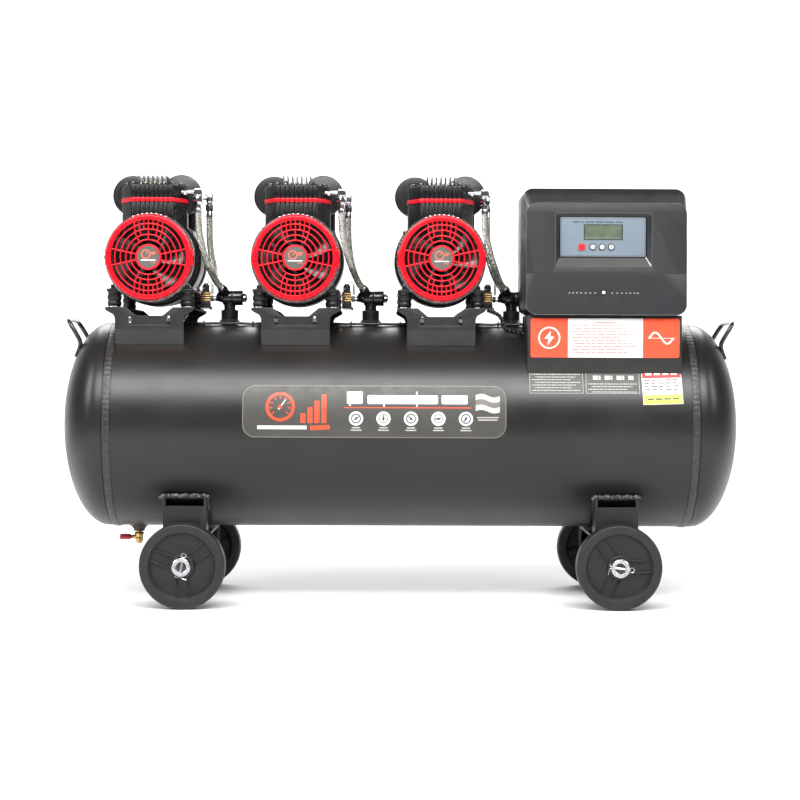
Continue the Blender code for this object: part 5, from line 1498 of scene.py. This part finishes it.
def build_check_valve(k):
    """A black tee on the tank's boss: a banded barrel, two hose sockets, a pipe and an unloader."""
    port_x = PUMP_X[k] + VALVE_OFFSET_X
    port = Vector((0, 0, VALVE_PORT_Z))
    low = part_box(f"pump_{k}_check_valve")[0].z
    form = Form(Matrix.Translation((port_x, 0, 0)))
    neck = [(0.0, low), (0.0098, low), (0.0102, low + 0.0006), (0.0102, low + 0.0016), (0.0096, low + 0.0022),
            (0.0100, low + 0.0050), (0.0104, port.z - 0.002), (0.0, port.z)]
    form.turned(neck, "fitting_black", "Z", steps=44)
    form.turned([(0.0, -0.0120), (0.0110, -0.0120), (0.0124, -0.0110), (0.0130, -0.0080), (0.0130, 0.0050),
                 (0.0125, 0.0058), (0.0125, 0.0070), (0.0132, 0.0076), (0.0134, 0.0215), (0.0128, 0.0228),
                 (0.0, 0.0229)],
                "fitting_black", "X", (0, 0, port.z + 0.0012), 56)
    form.ring(0.0128, 0.0012, 0.0010, "steel_dark", (0.0068, 0, port.z + 0.0012), 48, "X")
    hexagon(form, (0.0226, 0, port.z + 0.0012), (0.0285, 0, port.z + 0.0012), 0.0150, "chrome", 90, 0.0007)
    form.rod((0.0284, 0, port.z + 0.0012), (0.0300, 0, port.z + 0.0012), 0.0050, "steel_dark", steps=24)
    shape = bmesh.new()
    bmesh.ops.create_uvsphere(shape, u_segments=36, v_segments=20, radius=0.0108)
    form.take(shape, "fitting_black", Matrix.Translation((-0.0125, 0, port.z + 0.0035)))
    for side in (-1, 1):
        tip = port + Vector((-SOCKET_TIP[0], side * SOCKET_TIP[1], SOCKET_TIP[2]))
        way = (tip - port).normalized()
        form.rod(port + way * 0.006, tip - way * 0.0105, 0.0072, "fitting_black", steps=36)
        hexagon(form, tip - way * 0.0130, tip - way * 0.0035, 0.0140, "fitting_black", 10, 0.0007)
        form.ring(0.0064, 0.0014, 0.0018, "chrome", tip - way * 0.0024, 40, way)
        form.rod(tip - way * 0.0036, tip, 0.0061, "zinc", steps=32)
    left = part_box(f"pump_{k}_check_valve")[0].x - port_x
    form.rod((-0.0340, 0, port.z), (-0.0200, 0, port.z), 0.0040, "chrome", steps=28)
    for x in (-0.0300, -0.0215):
        hexagon(form, (x - 0.0025, 0, port.z), (x + 0.0025, 0, port.z), 0.0105,
                "steel_dark" if x < -0.025 else "fitting_black", 30)
    form.box((left, -0.0105, 0.4990), (left + 0.0165, 0.0105, 0.5105), "moulding", 0.0012, 3)
    form.box((left - 0.0001, -0.0092, 0.5095), (left + 0.0160, 0.0092, 0.5290), "coil", 0.0016, 3)
    for height in (0.5125, 0.5165, 0.5205, 0.5245):
        form.box((left - 0.0004, -0.0096, height), (left + 0.0163, 0.0096, height + 0.0016), "brass", 0.0005)
    form.rod((left + 0.0080, 0, 0.5280), (left + 0.0080, 0, 0.5400), 0.0062, "coil", steps=32)
    form.rod((left + 0.0080, 0, 0.5395), (left + 0.0080, 0, 0.5428), 0.0040, "brass", steps=24)
    form.box((left + 0.0036, -0.0102, 0.5320), (left + 0.0064, -0.0072, 0.5352), "blue_bit", 0.0005)
    form.box((left + 0.0020, -0.0100, 0.5272), (left + 0.0044, -0.0078, 0.5298), "lever", 0.0005)
    form.box((left + 0.0178, -0.0082, 0.5230), (left + 0.0224, -0.0074, 0.5410), "tag", 0.0003)
    form.sweep(smooth_run([(left + 0.0110, -0.0070, 0.5410), (left + 0.0165, -0.0082, 0.5450),
                           (left + 0.0200, -0.0078, 0.5405)], 8), 0.0007, "wire", 8)
    form.rod((left + 0.0008, -0.0102, 0.4985), (left + 0.0168, -0.0102, 0.4985), 0.0011, "tag", steps=12)
    form.rod((left + 0.0170, -0.0100, 0.4993), (left + 0.0190, -0.0106, 0.4993), 0.0030, "moulding", steps=20)
    form.done(f"check_valve_{k}", "frame", "valve_black", f"pump_{k}_check_valve")


def build_drain():
    """A small brass cock and its red lever with a ribbed sleeve."""
    low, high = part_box("drain_valve")
    x = high.x - 0.0083
    form = Form(Matrix.Translation((x, 0, 0)))
    top = high.z
    form.turned([(0.0, top), (0.0060, top), (0.0060, top - 0.0018), (0.0048, top - 0.0024),
                 (0.0048, top - 0.0034),
                 (0.0068, top - 0.0044), (0.0069, top - 0.0090), (0.0062, top - 0.0102),
                 (0.0066, top - 0.0120),
                 (0.0064, top - 0.0168), (0.0052, top - 0.0195), (0.0036, low.z + 0.0004), (0.0, low.z)],
                "brass", "Z", steps=48)
    hexagon(form, (0, 0, top - 0.0016), (0, 0, top - 0.0062), 0.0142, "brass", 12)
    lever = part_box("drain_lever")
    z = (lever[0].z + lever[1].z) / 2
    end = lever[1].x - x
    form.rod((-0.0050, 0, z), (end + 0.0006, 0, z), 0.0036, "brass", steps=28)
    form.done("drain_cock", "frame", "brass", "drain_valve")
    start = lever[1].x
    tip = lever[0].x
    arm = Form()
    arm.rod((start, 0, z), (start - 0.0042, 0, z), 0.0031, "lever", steps=28)
    sleeve = [(0.0, 0.0038), (0.0040, 0.0038), (0.0047, 0.0046)]
    length = start - tip
    for i in range(7):
        h = 0.0052 + i * (length - 0.0075) / 7
        sleeve += [(0.0049, h), (0.0051, h + 0.0006), (0.0049, h + 0.0012), (0.0047, h + 0.0017)]
    sleeve += [(0.0044, length - 0.0008), (0.0036, length), (0.0, length)]
    arm.turned([(r, h) for r, h in sleeve], "lever", Vector((-1, 0, 0)), (start, 0, z), 40)
    arm.box((start - 0.0190, -0.0058, z - 0.0014), (start - 0.0086, 0.0058, z + 0.0014), "lever", 0.0008, 3)
    arm.done("drain_handle", "drain_lever", "lever_red", "drain_lever")


def build_outlet():
    """A brass ball valve behind the tank with a red lever."""
    low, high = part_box("outlet_valve")
    x = (low.x + high.x) / 2
    z = OUTLET_Z
    near = low.y
    far = high.y
    form = Form()
    hexagon(form, (x, near, z), (x, near + 0.0060, z), 0.0225, "brass", 0, 0.0008)
    form.turned([(0.0, 0.0050), (0.0104, 0.0050), (0.0116, 0.0072), (0.0118, 0.0110), (0.0112, 0.0140),
                 (0.0094, 0.0160),
                 (0.0, 0.0160)], "brass", "Y", (x, near, z), 48)
    form.turned([(0.0, 0.0150), (0.0088, 0.0150), (0.0092, 0.0158), (0.0086, 0.0166), (0.0092, 0.0174),
                 (0.0086, 0.0182),
                 (0.0092, 0.0190), (0.0086, 0.0198), (0.0090, 0.0206), (0.0086, far - near),
                 (0.0052, far - near),
                 (0.0050, far - near - 0.0050), (0.0, far - near - 0.0050)], "brass", "Y", (x, near, z), 48)
    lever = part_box("outlet_lever")
    y = (lever[0].y + lever[1].y) / 2
    base = lever[0].z - GAP
    form.rod((x, y, z), (x, y, base - 0.0030), 0.0058, "brass", steps=32)
    hexagon(form, (x, y, base - 0.0050), (x, y, base), 0.0098, "zinc", 15)
    form.done("outlet_cock", "frame", "brass", "outlet_valve")
    arm = Form()
    top = lever[0].z
    arm.box((lever[0].x, lever[0].y + 0.0002, top), (x + 0.0140, lever[1].y - 0.0002, top + 0.0016), "lever",
            0.0007, 3)
    arm.box((x + 0.0120, lever[0].y + 0.0012, top + 0.0002), (lever[1].x, lever[1].y - 0.0012, top + 0.0026),
            "lever",
            0.0011, 3)
    for i in range(6):
        place = x + 0.0180 + i * 0.0042
        arm.box((place, lever[0].y + 0.0030, top + 0.0022),
                (place + 0.0016, lever[1].y - 0.0030, top + 0.0032), "lever",
                0.0004)
    hexagon(arm, (x, y, top + 0.0015), (x, y, top + 0.0042), 0.0076, "zinc", 15)
    arm.done("outlet_handle", "outlet_lever", "lever_red", "outlet_lever")


def build_safety():
    """A brass relief valve with side ports, and its pull ring."""
    low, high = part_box("safety_valve")
    x = (low.x + high.x) / 2
    form = Form(Matrix.Translation((x, 0, 0)))
    base = low.z
    form.turned([(0.0, 0.0), (0.0084, 0.0), (0.0088, 0.0008), (0.0088, 0.0020), (0.0, 0.0022)], "brass", "Z",
                (0, 0, base), 44)
    hexagon(form, (0, 0, base + 0.0018), (0, 0, base + 0.0092), 0.0185, "brass", 10, 0.0008)
    form.turned([(0.0, 0.0090), (0.0078, 0.0090), (0.0080, 0.0098), (0.0080, 0.0200), (0.0076, 0.0208),
                 (0.0080, 0.0216),
                 (0.0078, 0.0272), (0.0062, 0.0288), (0.0046, high.z - base), (0.0, high.z - base)], "brass",
                "Z",
                (0, 0, base), 48)
    # Six dark rods round the body are painted shade for its side ports
    for i in range(6):
        a = math.radians(60 * i + 20)
        form.rod((0.0074 * math.cos(a), 0.0074 * math.sin(a), base + 0.0150),
                 (0.0082 * math.cos(a), 0.0082 * math.sin(a), base + 0.0150), 0.0014, "hole_shade", steps=16,
                 soft=0.0001)
    form.done("relief_valve", "frame", "brass", "safety_valve")
    low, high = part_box("safety_pull")
    x = (low.x + high.x) / 2
    pull = Form(Matrix.Translation((x, 0, 0)))
    pull.rod((0, 0, low.z), (0, 0, low.z + 0.0052), 0.0028, "zinc", steps=28)
    radius = (high.x - low.x) / 2 - 0.0012
    center = high.z - radius - 0.0012
    ring = [(radius * math.sin(t), 0.0006 * math.sin(2 * t), center - radius * math.cos(t))
            for t in [math.tau * i / 56 for i in range(56)]]
    pull.sweep(ring, 0.0012, "zinc", 12, closed=True)
    pull.done("relief_pull", "safety_pull", "zinc", "safety_pull")


FINISH["fitting_black"] = make_finish("fitting_black", (0.0070, 0.0068, 0.0066), 0.20, vary=0.25, patch=90,
                                      grain=1400,
                                      specular=0.6)
FINISH["tag"] = make_finish("paper_tag", (0.62, 0.60, 0.56), 0.5, vary=0.15, patch=160, grain=1500)
FINISH["blue_bit"] = make_finish("blue_crimp", (0.12, 0.36, 0.62), 0.35, vary=0.15, patch=160, grain=1500)
for k in PUMPS:
    build_check_valve(k)
build_drain()
build_outlet()
build_safety()


# Control box

BOX_FRONT_Y = -0.1600
BOX_CORNER = 0.0180
FACE_CORNER = 0.0170
FACE_INSET = 0.0045
FACE_TOP_Z = 0.6715
FACE_FOLD_Z = 0.5544
FACE_LEAN = 0.0060
RECESS = (0.2530, 0.4130, 0.5665, 0.6555)
PANEL = (0.2618, 0.4030, 0.5835, 0.6480)
DISPLAY = (0.3005, 0.3652, 0.6109, 0.6370)
SCREW = (0.3332, 0.5239)


def face_y(z):
    """How far forward the cover's face is at a height: upright below the fold, leaning back above it."""
    return BOX_FRONT_Y + FACE_LEAN * max(0.0, (z - FACE_FOLD_Z) / (FACE_TOP_Z - FACE_FOLD_Z))


def loft(form, loops, finish):
    """Joins closed loops that have the same number of points."""
    points = [point for loop in loops for point in loop]
    count = len(loops[0])
    faces = []
    for row in range(len(loops) - 1):
        for i in range(count):
            j = (i + 1) % count
            faces.append([row * count + i, row * count + j, (row + 1) * count + j, (row + 1) * count + i])
    form.add(points, faces, finish)


def build_cover():
    """A cover whose border tapers to a leaning face with a picture-frame recess and a fine crease, with pale
    lines along its edges as painted highlights.
    """
    low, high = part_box("control_box_cover")
    left, right, bottom, top = low.x, high.x, low.z, high.z
    form = Form()

    def ring(share, y):
        """The border's outline part of the way from the split line to the face."""
        inset = FACE_INSET * share
        crown = top + (FACE_TOP_Z - top) * share
        corner = BOX_CORNER + (FACE_CORNER - BOX_CORNER) * share
        return [(u, y(v), v) for u, v in rounded(left + inset, right - inset, bottom + 0.0001, crown, corner,
                                                 12)]

    split = high.y
    loops = [ring(0.0, lambda v: split - 0.0002), ring(0.0, lambda v: split - 0.0016)]
    for share in (0.25, 0.5, 0.75, 0.96):
        loops.append(ring(share, lambda v, s=share: split + (face_y(v) - split) * s))
    loops.append(ring(0.985, lambda v: face_y(v) + 0.0006))
    loops.append(ring(1.0, lambda v: face_y(v) + 0.0001))
    loft(form, loops, "cover_rim")
    # A thin pale bar round the face's edge is a painted highlight
    ridge = [(u, y - 0.0002, v) for u, y, v in ring(1.0, lambda v: face_y(v))]
    form.sweep([Vector(p) for p in ridge], 0.0006, "cover_line_highlight", 8, closed=True)
    face = rounded(left + FACE_INSET, right - FACE_INSET, bottom + 0.0002, FACE_TOP_Z, FACE_CORNER, 12)
    hole = rounded(RECESS[0], RECESS[1], RECESS[2], RECESS[3], 0.0030, 6)
    flat = Form()
    flat.slab(face, -0.0010, 0.0010, "cover", "Y", [hole], soft=0.0004)
    shape = bmesh.new()
    verts = [shape.verts.new(point) for point in flat.points]
    for corners in flat.faces:
        shape.faces.new([verts[i] for i in corners])
    for height in (FACE_FOLD_Z - 0.0008, FACE_FOLD_Z, FACE_FOLD_Z + 0.0008):
        bmesh.ops.bisect_plane(shape, geom=shape.verts[:] + shape.edges[:] + shape.faces[:],
                               plane_co=(0, 0, height), plane_no=(0, 0, 1))
    for vert in shape.verts:
        crease = 0.0005 if abs(vert.co.z - FACE_FOLD_Z) < 0.0002 else 0.0
        vert.co.y += face_y(vert.co.z) + 0.0010 + crease
    form.take(shape, "cover")
    inner = rounded(PANEL[0] - 0.0010, PANEL[1] + 0.0010, PANEL[2] - 0.0010, PANEL[3] + 0.0010, 0.0030, 6)
    mouth = [(u, face_y(v) + 0.0003, v) for u, v in hole]
    floor = -0.1503
    loft(form, [mouth, [(u, floor, v) for u, v in inner]], "cover_rim")
    # A thin pale bar round the recess mouth is a painted highlight
    form.sweep([Vector((u, face_y(v), v)) for u, v in hole], 0.0006, "cover_line_highlight", 8, closed=True)
    form.box((PANEL[0] - 0.002, floor, PANEL[2] - 0.002),
             (PANEL[1] + 0.002, floor + 0.0020, PANEL[3] + 0.002),
             "cover_rim", 0.0002)
    # Rods down the recess's mitred corners carry painted highlights; the thicker, brighter one at the lower
    # right is a painted glint on that mitre
    for u, v, finish in ((RECESS[1], RECESS[2], "cover_mitre_highlight"), (RECESS[0], RECESS[2], "cover_line_highlight"),
                         (RECESS[1], RECESS[3], "cover_line_highlight"), (RECESS[0], RECESS[3], "cover_line_highlight")):
        side = 1 if u == RECESS[1] else -1
        rise = 1 if v == RECESS[3] else -1
        corner_x = PANEL[1] + 0.0006 if side > 0 else PANEL[0] - 0.0006
        corner_z = PANEL[3] + 0.0006 if rise > 0 else PANEL[2] - 0.0006
        form.rod((u - side * 0.0016, face_y(v) + 0.0010, v - rise * 0.0016),
                 (corner_x, floor + 0.0002, corner_z),
                 0.0009 if finish == "cover_mitre_highlight" else 0.0004, finish, steps=12)
    for i in range(7):
        for side in (-1, 1):
            x = SCREW[0] + side * (0.0140 + i * 0.0084 - 0.00022 * i * i)
            form.box((x - 0.0013, BOX_FRONT_Y - 0.0003, SCREW[1] - 0.0016),
                     (x + 0.0013, BOX_FRONT_Y + 0.0005, SCREW[1] - 0.0002),
                     "pale_print", 0.0003)
    # A dark ring round the white centre is painted shade in its recess
    form.turned([(0.0, 0.0002), (0.0049, 0.0002), (0.0046, 0.0006), (0.0036, 0.0006), (0.0, 0.0005)], "hole_shade",
                "-Y",
                (SCREW[0], BOX_FRONT_Y, SCREW[1]), 40)
    form.turned([(0.0, 0.0004), (0.0028, 0.0006), (0.0026, 0.0013), (0.0012, 0.0016), (0.0, 0.0016)], "white",
                "-Y",
                (SCREW[0], BOX_FRONT_Y, SCREW[1]), 36)
    form.done("box_cover", "frame", "cover_plastic", "control_box_cover")


def build_panel():
    """The printed panel with a fine border, a display in its bezel and a few plain marks."""
    low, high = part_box("control_panel")
    left, right, bottom, top = low.x, high.x, low.z, high.z
    front = low.y
    form = Form()
    form.slab(rounded(left, right, bottom, top, 0.0030), front, high.y, "panel", "Y", soft=0.0003)
    outer = rounded(left + 0.0013, right - 0.0013, bottom + 0.0013, top - 0.0013, 0.0028)
    inner = rounded(left + 0.0018, right - 0.0018, bottom + 0.0018, top - 0.0018, 0.0024)
    form.slab(outer, front - 0.0001, front + 0.0002, "print_dark", "Y", [inner], soft=0.0)
    widths = (0.011, 0.004, 0.0145, 0.0125, 0.0145, 0.0110)
    x = left + 0.0205
    for width in widths:
        form.box((x, front - 0.00015, top - 0.0085), (x + width, front + 0.0002, top - 0.0066), "print_dark",
                 0.0)
        x += width + 0.0030
    u0, u1, v0, v1 = DISPLAY
    form.slab(rounded(u0, u1, v0, v1, 0.0014), front - 0.0006, front + 0.0006, "bezel", "Y",
              [rounded(u0 + 0.0016, u1 - 0.0016, v0 + 0.0016, v1 - 0.0016, 0.0006)], soft=0.0003)
    form.box((u0 + 0.0012, front - 0.0002, v0 + 0.0012), (u1 - 0.0012, front + 0.0004, v1 - 0.0012), "glass",
             0.0001)
    form.done("panel_face", "frame", "panel", "control_panel")


def build_buttons():
    """A red square button and three dark round ones, each with a plain mark."""
    low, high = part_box("power_button")
    x, z = (low.x + high.x) / 2, (low.z + high.z) / 2
    form = Form()
    form.slab(rounded(x - 0.0052, x + 0.0052, z - 0.0052, z + 0.0052, 0.0012), low.y, low.y + 0.0030,
              "button_red", "Y",
              soft=0.0005)
    form.rod((x, low.y + 0.0028, z), (x, high.y, z), 0.0045, "button_red", steps=32)
    form.ring(0.0023, 0.0007, 0.0003, "button_mark", (x, low.y - 0.0001, z), 32, soft=0.0001)
    form.box((x - 0.0003, low.y - 0.0003, z + 0.0002), (x + 0.0003, low.y + 0.0002, z + 0.0030),
             "button_mark", 0.0001)
    form.done("button_power", "power_button", "button_red", "power_button")
    for number in (1, 2, 3):
        node = f"set_button_{number}"
        low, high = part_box(node)
        x, z = (low.x + high.x) / 2, (low.z + high.z) / 2
        form = Form()
        form.turned([(0.0, 0.0), (0.0046, 0.0), (0.0054, -0.0006), (0.0055, -0.0020), (0.0048, -0.0030),
                     (0.0046, low.y - high.y),
                     (0.0, low.y - high.y)], "button_dark", "-Y", (x, low.y, z), 44)
        form.turned([(0.0, -0.0001), (0.0037, -0.0001), (0.0037, 0.0002), (0.0, 0.0002)], "white", "-Y",
                    (x, low.y, z), 40)
        marks = {
            1: [(-0.0022, -0.0005, 0.0022, 0.0005), (0.0010, -0.0014, 0.0018, 0.0014)],
            2: [(-0.0020, -0.0005, 0.0020, 0.0005)],
            3: [(-0.0020, -0.0005, 0.0020, 0.0005), (-0.0005, -0.0020, 0.0005, 0.0020)],
        }[number]
        for u0, v0, u1, v1 in marks:
            form.box((x + u0, low.y - 0.0004, z + v0), (x + u1, low.y - 0.0001, z + v1), "print_dark", 0.0)
        form.done(f"button_set_{number}", node, "button_dark", node)


def build_shell():
    """The rear half of the box with soft corners, vents, screws and a cable gland at the back."""
    form = Form()
    softened(form, "control_box_shell", "shell", 0.0010)
    low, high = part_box("control_box_shell")
    back = middle("control_box_shell").y * 2 - low.y
    wall = back - 0.0120
    # Each vent is a dark slab of painted shade with a small lip below it, in place of an opening
    for row in range(6):
        z = 0.640 - row * 0.0090
        form.slab(rounded(0.2300, 0.2900, z, z + 0.0036, 0.0017), wall - 0.0002, wall + 0.0006, "hole_shade", "Y",
                  soft=0.0001)
        form.slab(rounded(0.2290, 0.2910, z - 0.0011, z - 0.0002, 0.0004), wall, wall + 0.0014, "shell", "Y",
                  soft=0.0002)
    for x in (low.x + 0.0160, high.x - 0.0160):
        for z in (low.z + 0.0160, high.z - 0.0160):
            form.turned([(0.0, 0.0), (0.0042, 0.0), (0.0040, 0.0012), (0.0030, 0.0018), (0.0, 0.0018)],
                        "steel_dark",
                        "Y", (x, wall, z), 32)
    gland_x, gland_z = 0.4300, 0.5200
    hexagon(form, (gland_x, wall, gland_z), (gland_x, wall + 0.0050, gland_z), 0.0205, "moulding", 10, 0.0006)
    form.turned([(0.0, 0.0048), (0.0092, 0.0048), (0.0095, 0.0060), (0.0092, 0.0092), (0.0078, 0.0118),
                 (0.0050, 0.0122),
                 (0.0046, 0.0090), (0.0, 0.0088)], "moulding", "Y", (gland_x, wall, gland_z), 44)
    form.done("box_shell", "frame", "shell_plastic", "control_box_shell")


def build_stand():
    """The wiring housing under the box, with a plain two-colour plate on its front."""
    form = Form()
    softened(form, "control_stand", "stand", 0.0010)
    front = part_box("control_stand")[0].y - 0.0003
    left, right, bottom, top = 0.2136, 0.4607, 0.4163, 0.4815
    first, second = 0.2755, 0.3999
    form.slab(rounded(left, right, bottom, top, 0.0040), front, front + 0.0004, "orange", "Y", soft=0.0001)
    form.box((first, front - 0.0003, bottom + 0.0001), (second, front + 0.0002, top - 0.0001), "white",
             0.0001)
    ink = front - 0.0003
    for i in range(11):
        z = top - 0.0085 - i * 0.0049
        if i == 0:
            form.box((0.3215, ink - 0.0002, z), (0.3545, ink, z + 0.0022), "pink_print", 0.0)
            continue
        x = first + (0.0060 if i in (1, 3, 5, 9) else 0.0105)
        end = second - 0.0100 - 0.0085 * ((i * 7) % 4)
        while x < end - 0.004:
            width = min(0.0072 + 0.0052 * ((i * 5 + int(x * 3000)) % 3), end - x)
            form.box((x, ink - 0.0002, z), (x + width, ink, z + 0.0019), "pink_print", 0.0)
            x += width + 0.0019
    middle_left = (left + first) / 2
    middle_right = (second + right) / 2
    z = (bottom + top) / 2
    bolt = [(0.0030, 0.0120), (-0.0080, -0.0015), (-0.0012, -0.0015), (-0.0030, -0.0125), (0.0085, 0.0020),
            (0.0016, 0.0020)]
    form.slab([(middle_left + u, z + v) for u, v in bolt], front - 0.0002, front + 0.0002, "white", "Y",
              soft=0.0)
    form.ring(0.0170, 0.0024, 0.0004, "white", (middle_left, front - 0.0001, z), 64, soft=0.0001)
    wave = [(middle_right - 0.0200 + i * 0.0400 / 48, front - 0.0001,
             z + 0.0092 * math.sin(math.tau * i / 48))
            for i in range(49)]
    form.sweep(wave, 0.0016, "white", 10, squash=1.0)
    form.box((middle_right - 0.0225, front - 0.0003, z - 0.0004),
             (middle_right + 0.0225, front + 0.0002, z + 0.0004), "white",
             0.0)
    form.done("stand_housing", "frame", "stand_plastic", "control_stand")


FINISH["cover_rim"] = make_finish("cover_border", (0.0085, 0.0085, 0.0090), 0.36, vary=0.15, patch=14,
                                  grain=1500,
                                  depth=0.00012, strength=0.3)
# Lighter finishes for the cover's edge bars and the recess mitres: painted highlights
FINISH["cover_line_highlight"] = make_finish("cover_line_highlight", (0.085, 0.085, 0.088), 0.34, vary=0.2, patch=60, grain=1500)
# The brightest of these: a painted glint on the recess's lower right mitre
FINISH["cover_mitre_highlight"] = make_finish("cover_mitre_highlight", (0.62, 0.60, 0.58), 0.30, vary=0.2, patch=60, grain=1500)
FINISH["bezel"] = make_finish("display_bezel", (0.020, 0.028, 0.030), 0.35, vary=0.2, patch=120, grain=1500)
FINISH["button_mark"] = make_finish("button_mark", (0.30, 0.010, 0.016), 0.4, vary=0.1, patch=160, grain=1500)
FINISH["stand"] = make_finish("stand_paint", (0.0150, 0.0140, 0.0130), 0.42, vary=0.18, patch=16, grain=900,
                              depth=0.00012, strength=0.25, dust=0.04)
build_shell()
build_cover()
build_panel()
build_buttons()
build_stand()
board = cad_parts["circuit_board"]
for spot in board.material_slots:
    spot.material = FINISH["board"]
if not board.material_slots:
    board.data.materials.append(FINISH["board"])


# Wires

def build_leads():
    """The motor leads in their sleeve along the tank's top, with ties and short tails."""
    low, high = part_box("motor_leads")
    y = (low.y + high.y) / 2
    radius = (high.y - low.y) / 2
    z = high.z - radius
    form = Form()
    path = [Vector((low.x + (high.x - low.x) * i / 220, y + 0.0005 * math.sin(i * 0.31),
                    z - 0.0002 + 0.0003 * math.sin(i * 0.47)))
            for i in range(221)]
    form.sweep(path, lambda share: radius * (0.90 + 0.05 * math.sin(share * 1380)), "wire", 16)
    x = low.x + 0.030
    while x < high.x - 0.02:
        form.ring(radius * 1.02, 0.0010, 0.0026, "moulding", (x, y, z), 20, "X", 0.0003)
        form.box((x - 0.0016, y - 0.0018, z + radius * 0.9), (x + 0.0016, y + 0.0016, z + radius + 0.0016),
                 "moulding", 0.0005)
        x += 0.0840
    form.done("lead_sleeve", "frame", "wire", "motor_leads")
    tails = Form()
    for k in PUMPS:
        for side in (-1, 1):
            start = Vector((PUMP_X[k] + 0.0380, y, z + 0.0010))
            end = Vector((PUMP_X[k] + 0.0520, side * 0.0210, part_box(f"pump_{k}_feet")[0].z + 0.0120))
            route = smooth_run([start, start + Vector((0.012, 0.0, 0.006)),
                                end - Vector((0.0, side * 0.002, 0.016)), end], 10)
            tails.sweep(route, 0.0013, "wire", 10)
    tails.done("lead_tails", "frame", "wire")


def build_twist():
    """The twisted pair that drops from the last pump's side into the stand."""
    form = Form()
    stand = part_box("control_stand")[0]
    start = Vector((PUMP_X[3] + 0.0800, -0.0780, 0.4960))
    finish = Vector((stand.x - 0.0004, -0.0900, 0.4560))
    spine = smooth_run([start, start + Vector((0.020, -0.004, -0.010)),
                        (start + finish) / 2 + Vector((0, 0.002, -0.012)), finish],
                       22)
    for turn in (0, math.pi):
        route = []
        for i, (point, a, b) in enumerate(frames_along(spine)):
            angle = i * 0.62 + turn
            route.append(point + a * (0.0021 * math.cos(angle)) + b * (0.0021 * math.sin(angle)))
        form.sweep(route, 0.0019, "wire", 12)
    form.done("lead_pair", "frame", "wire")


build_leads()
build_twist()
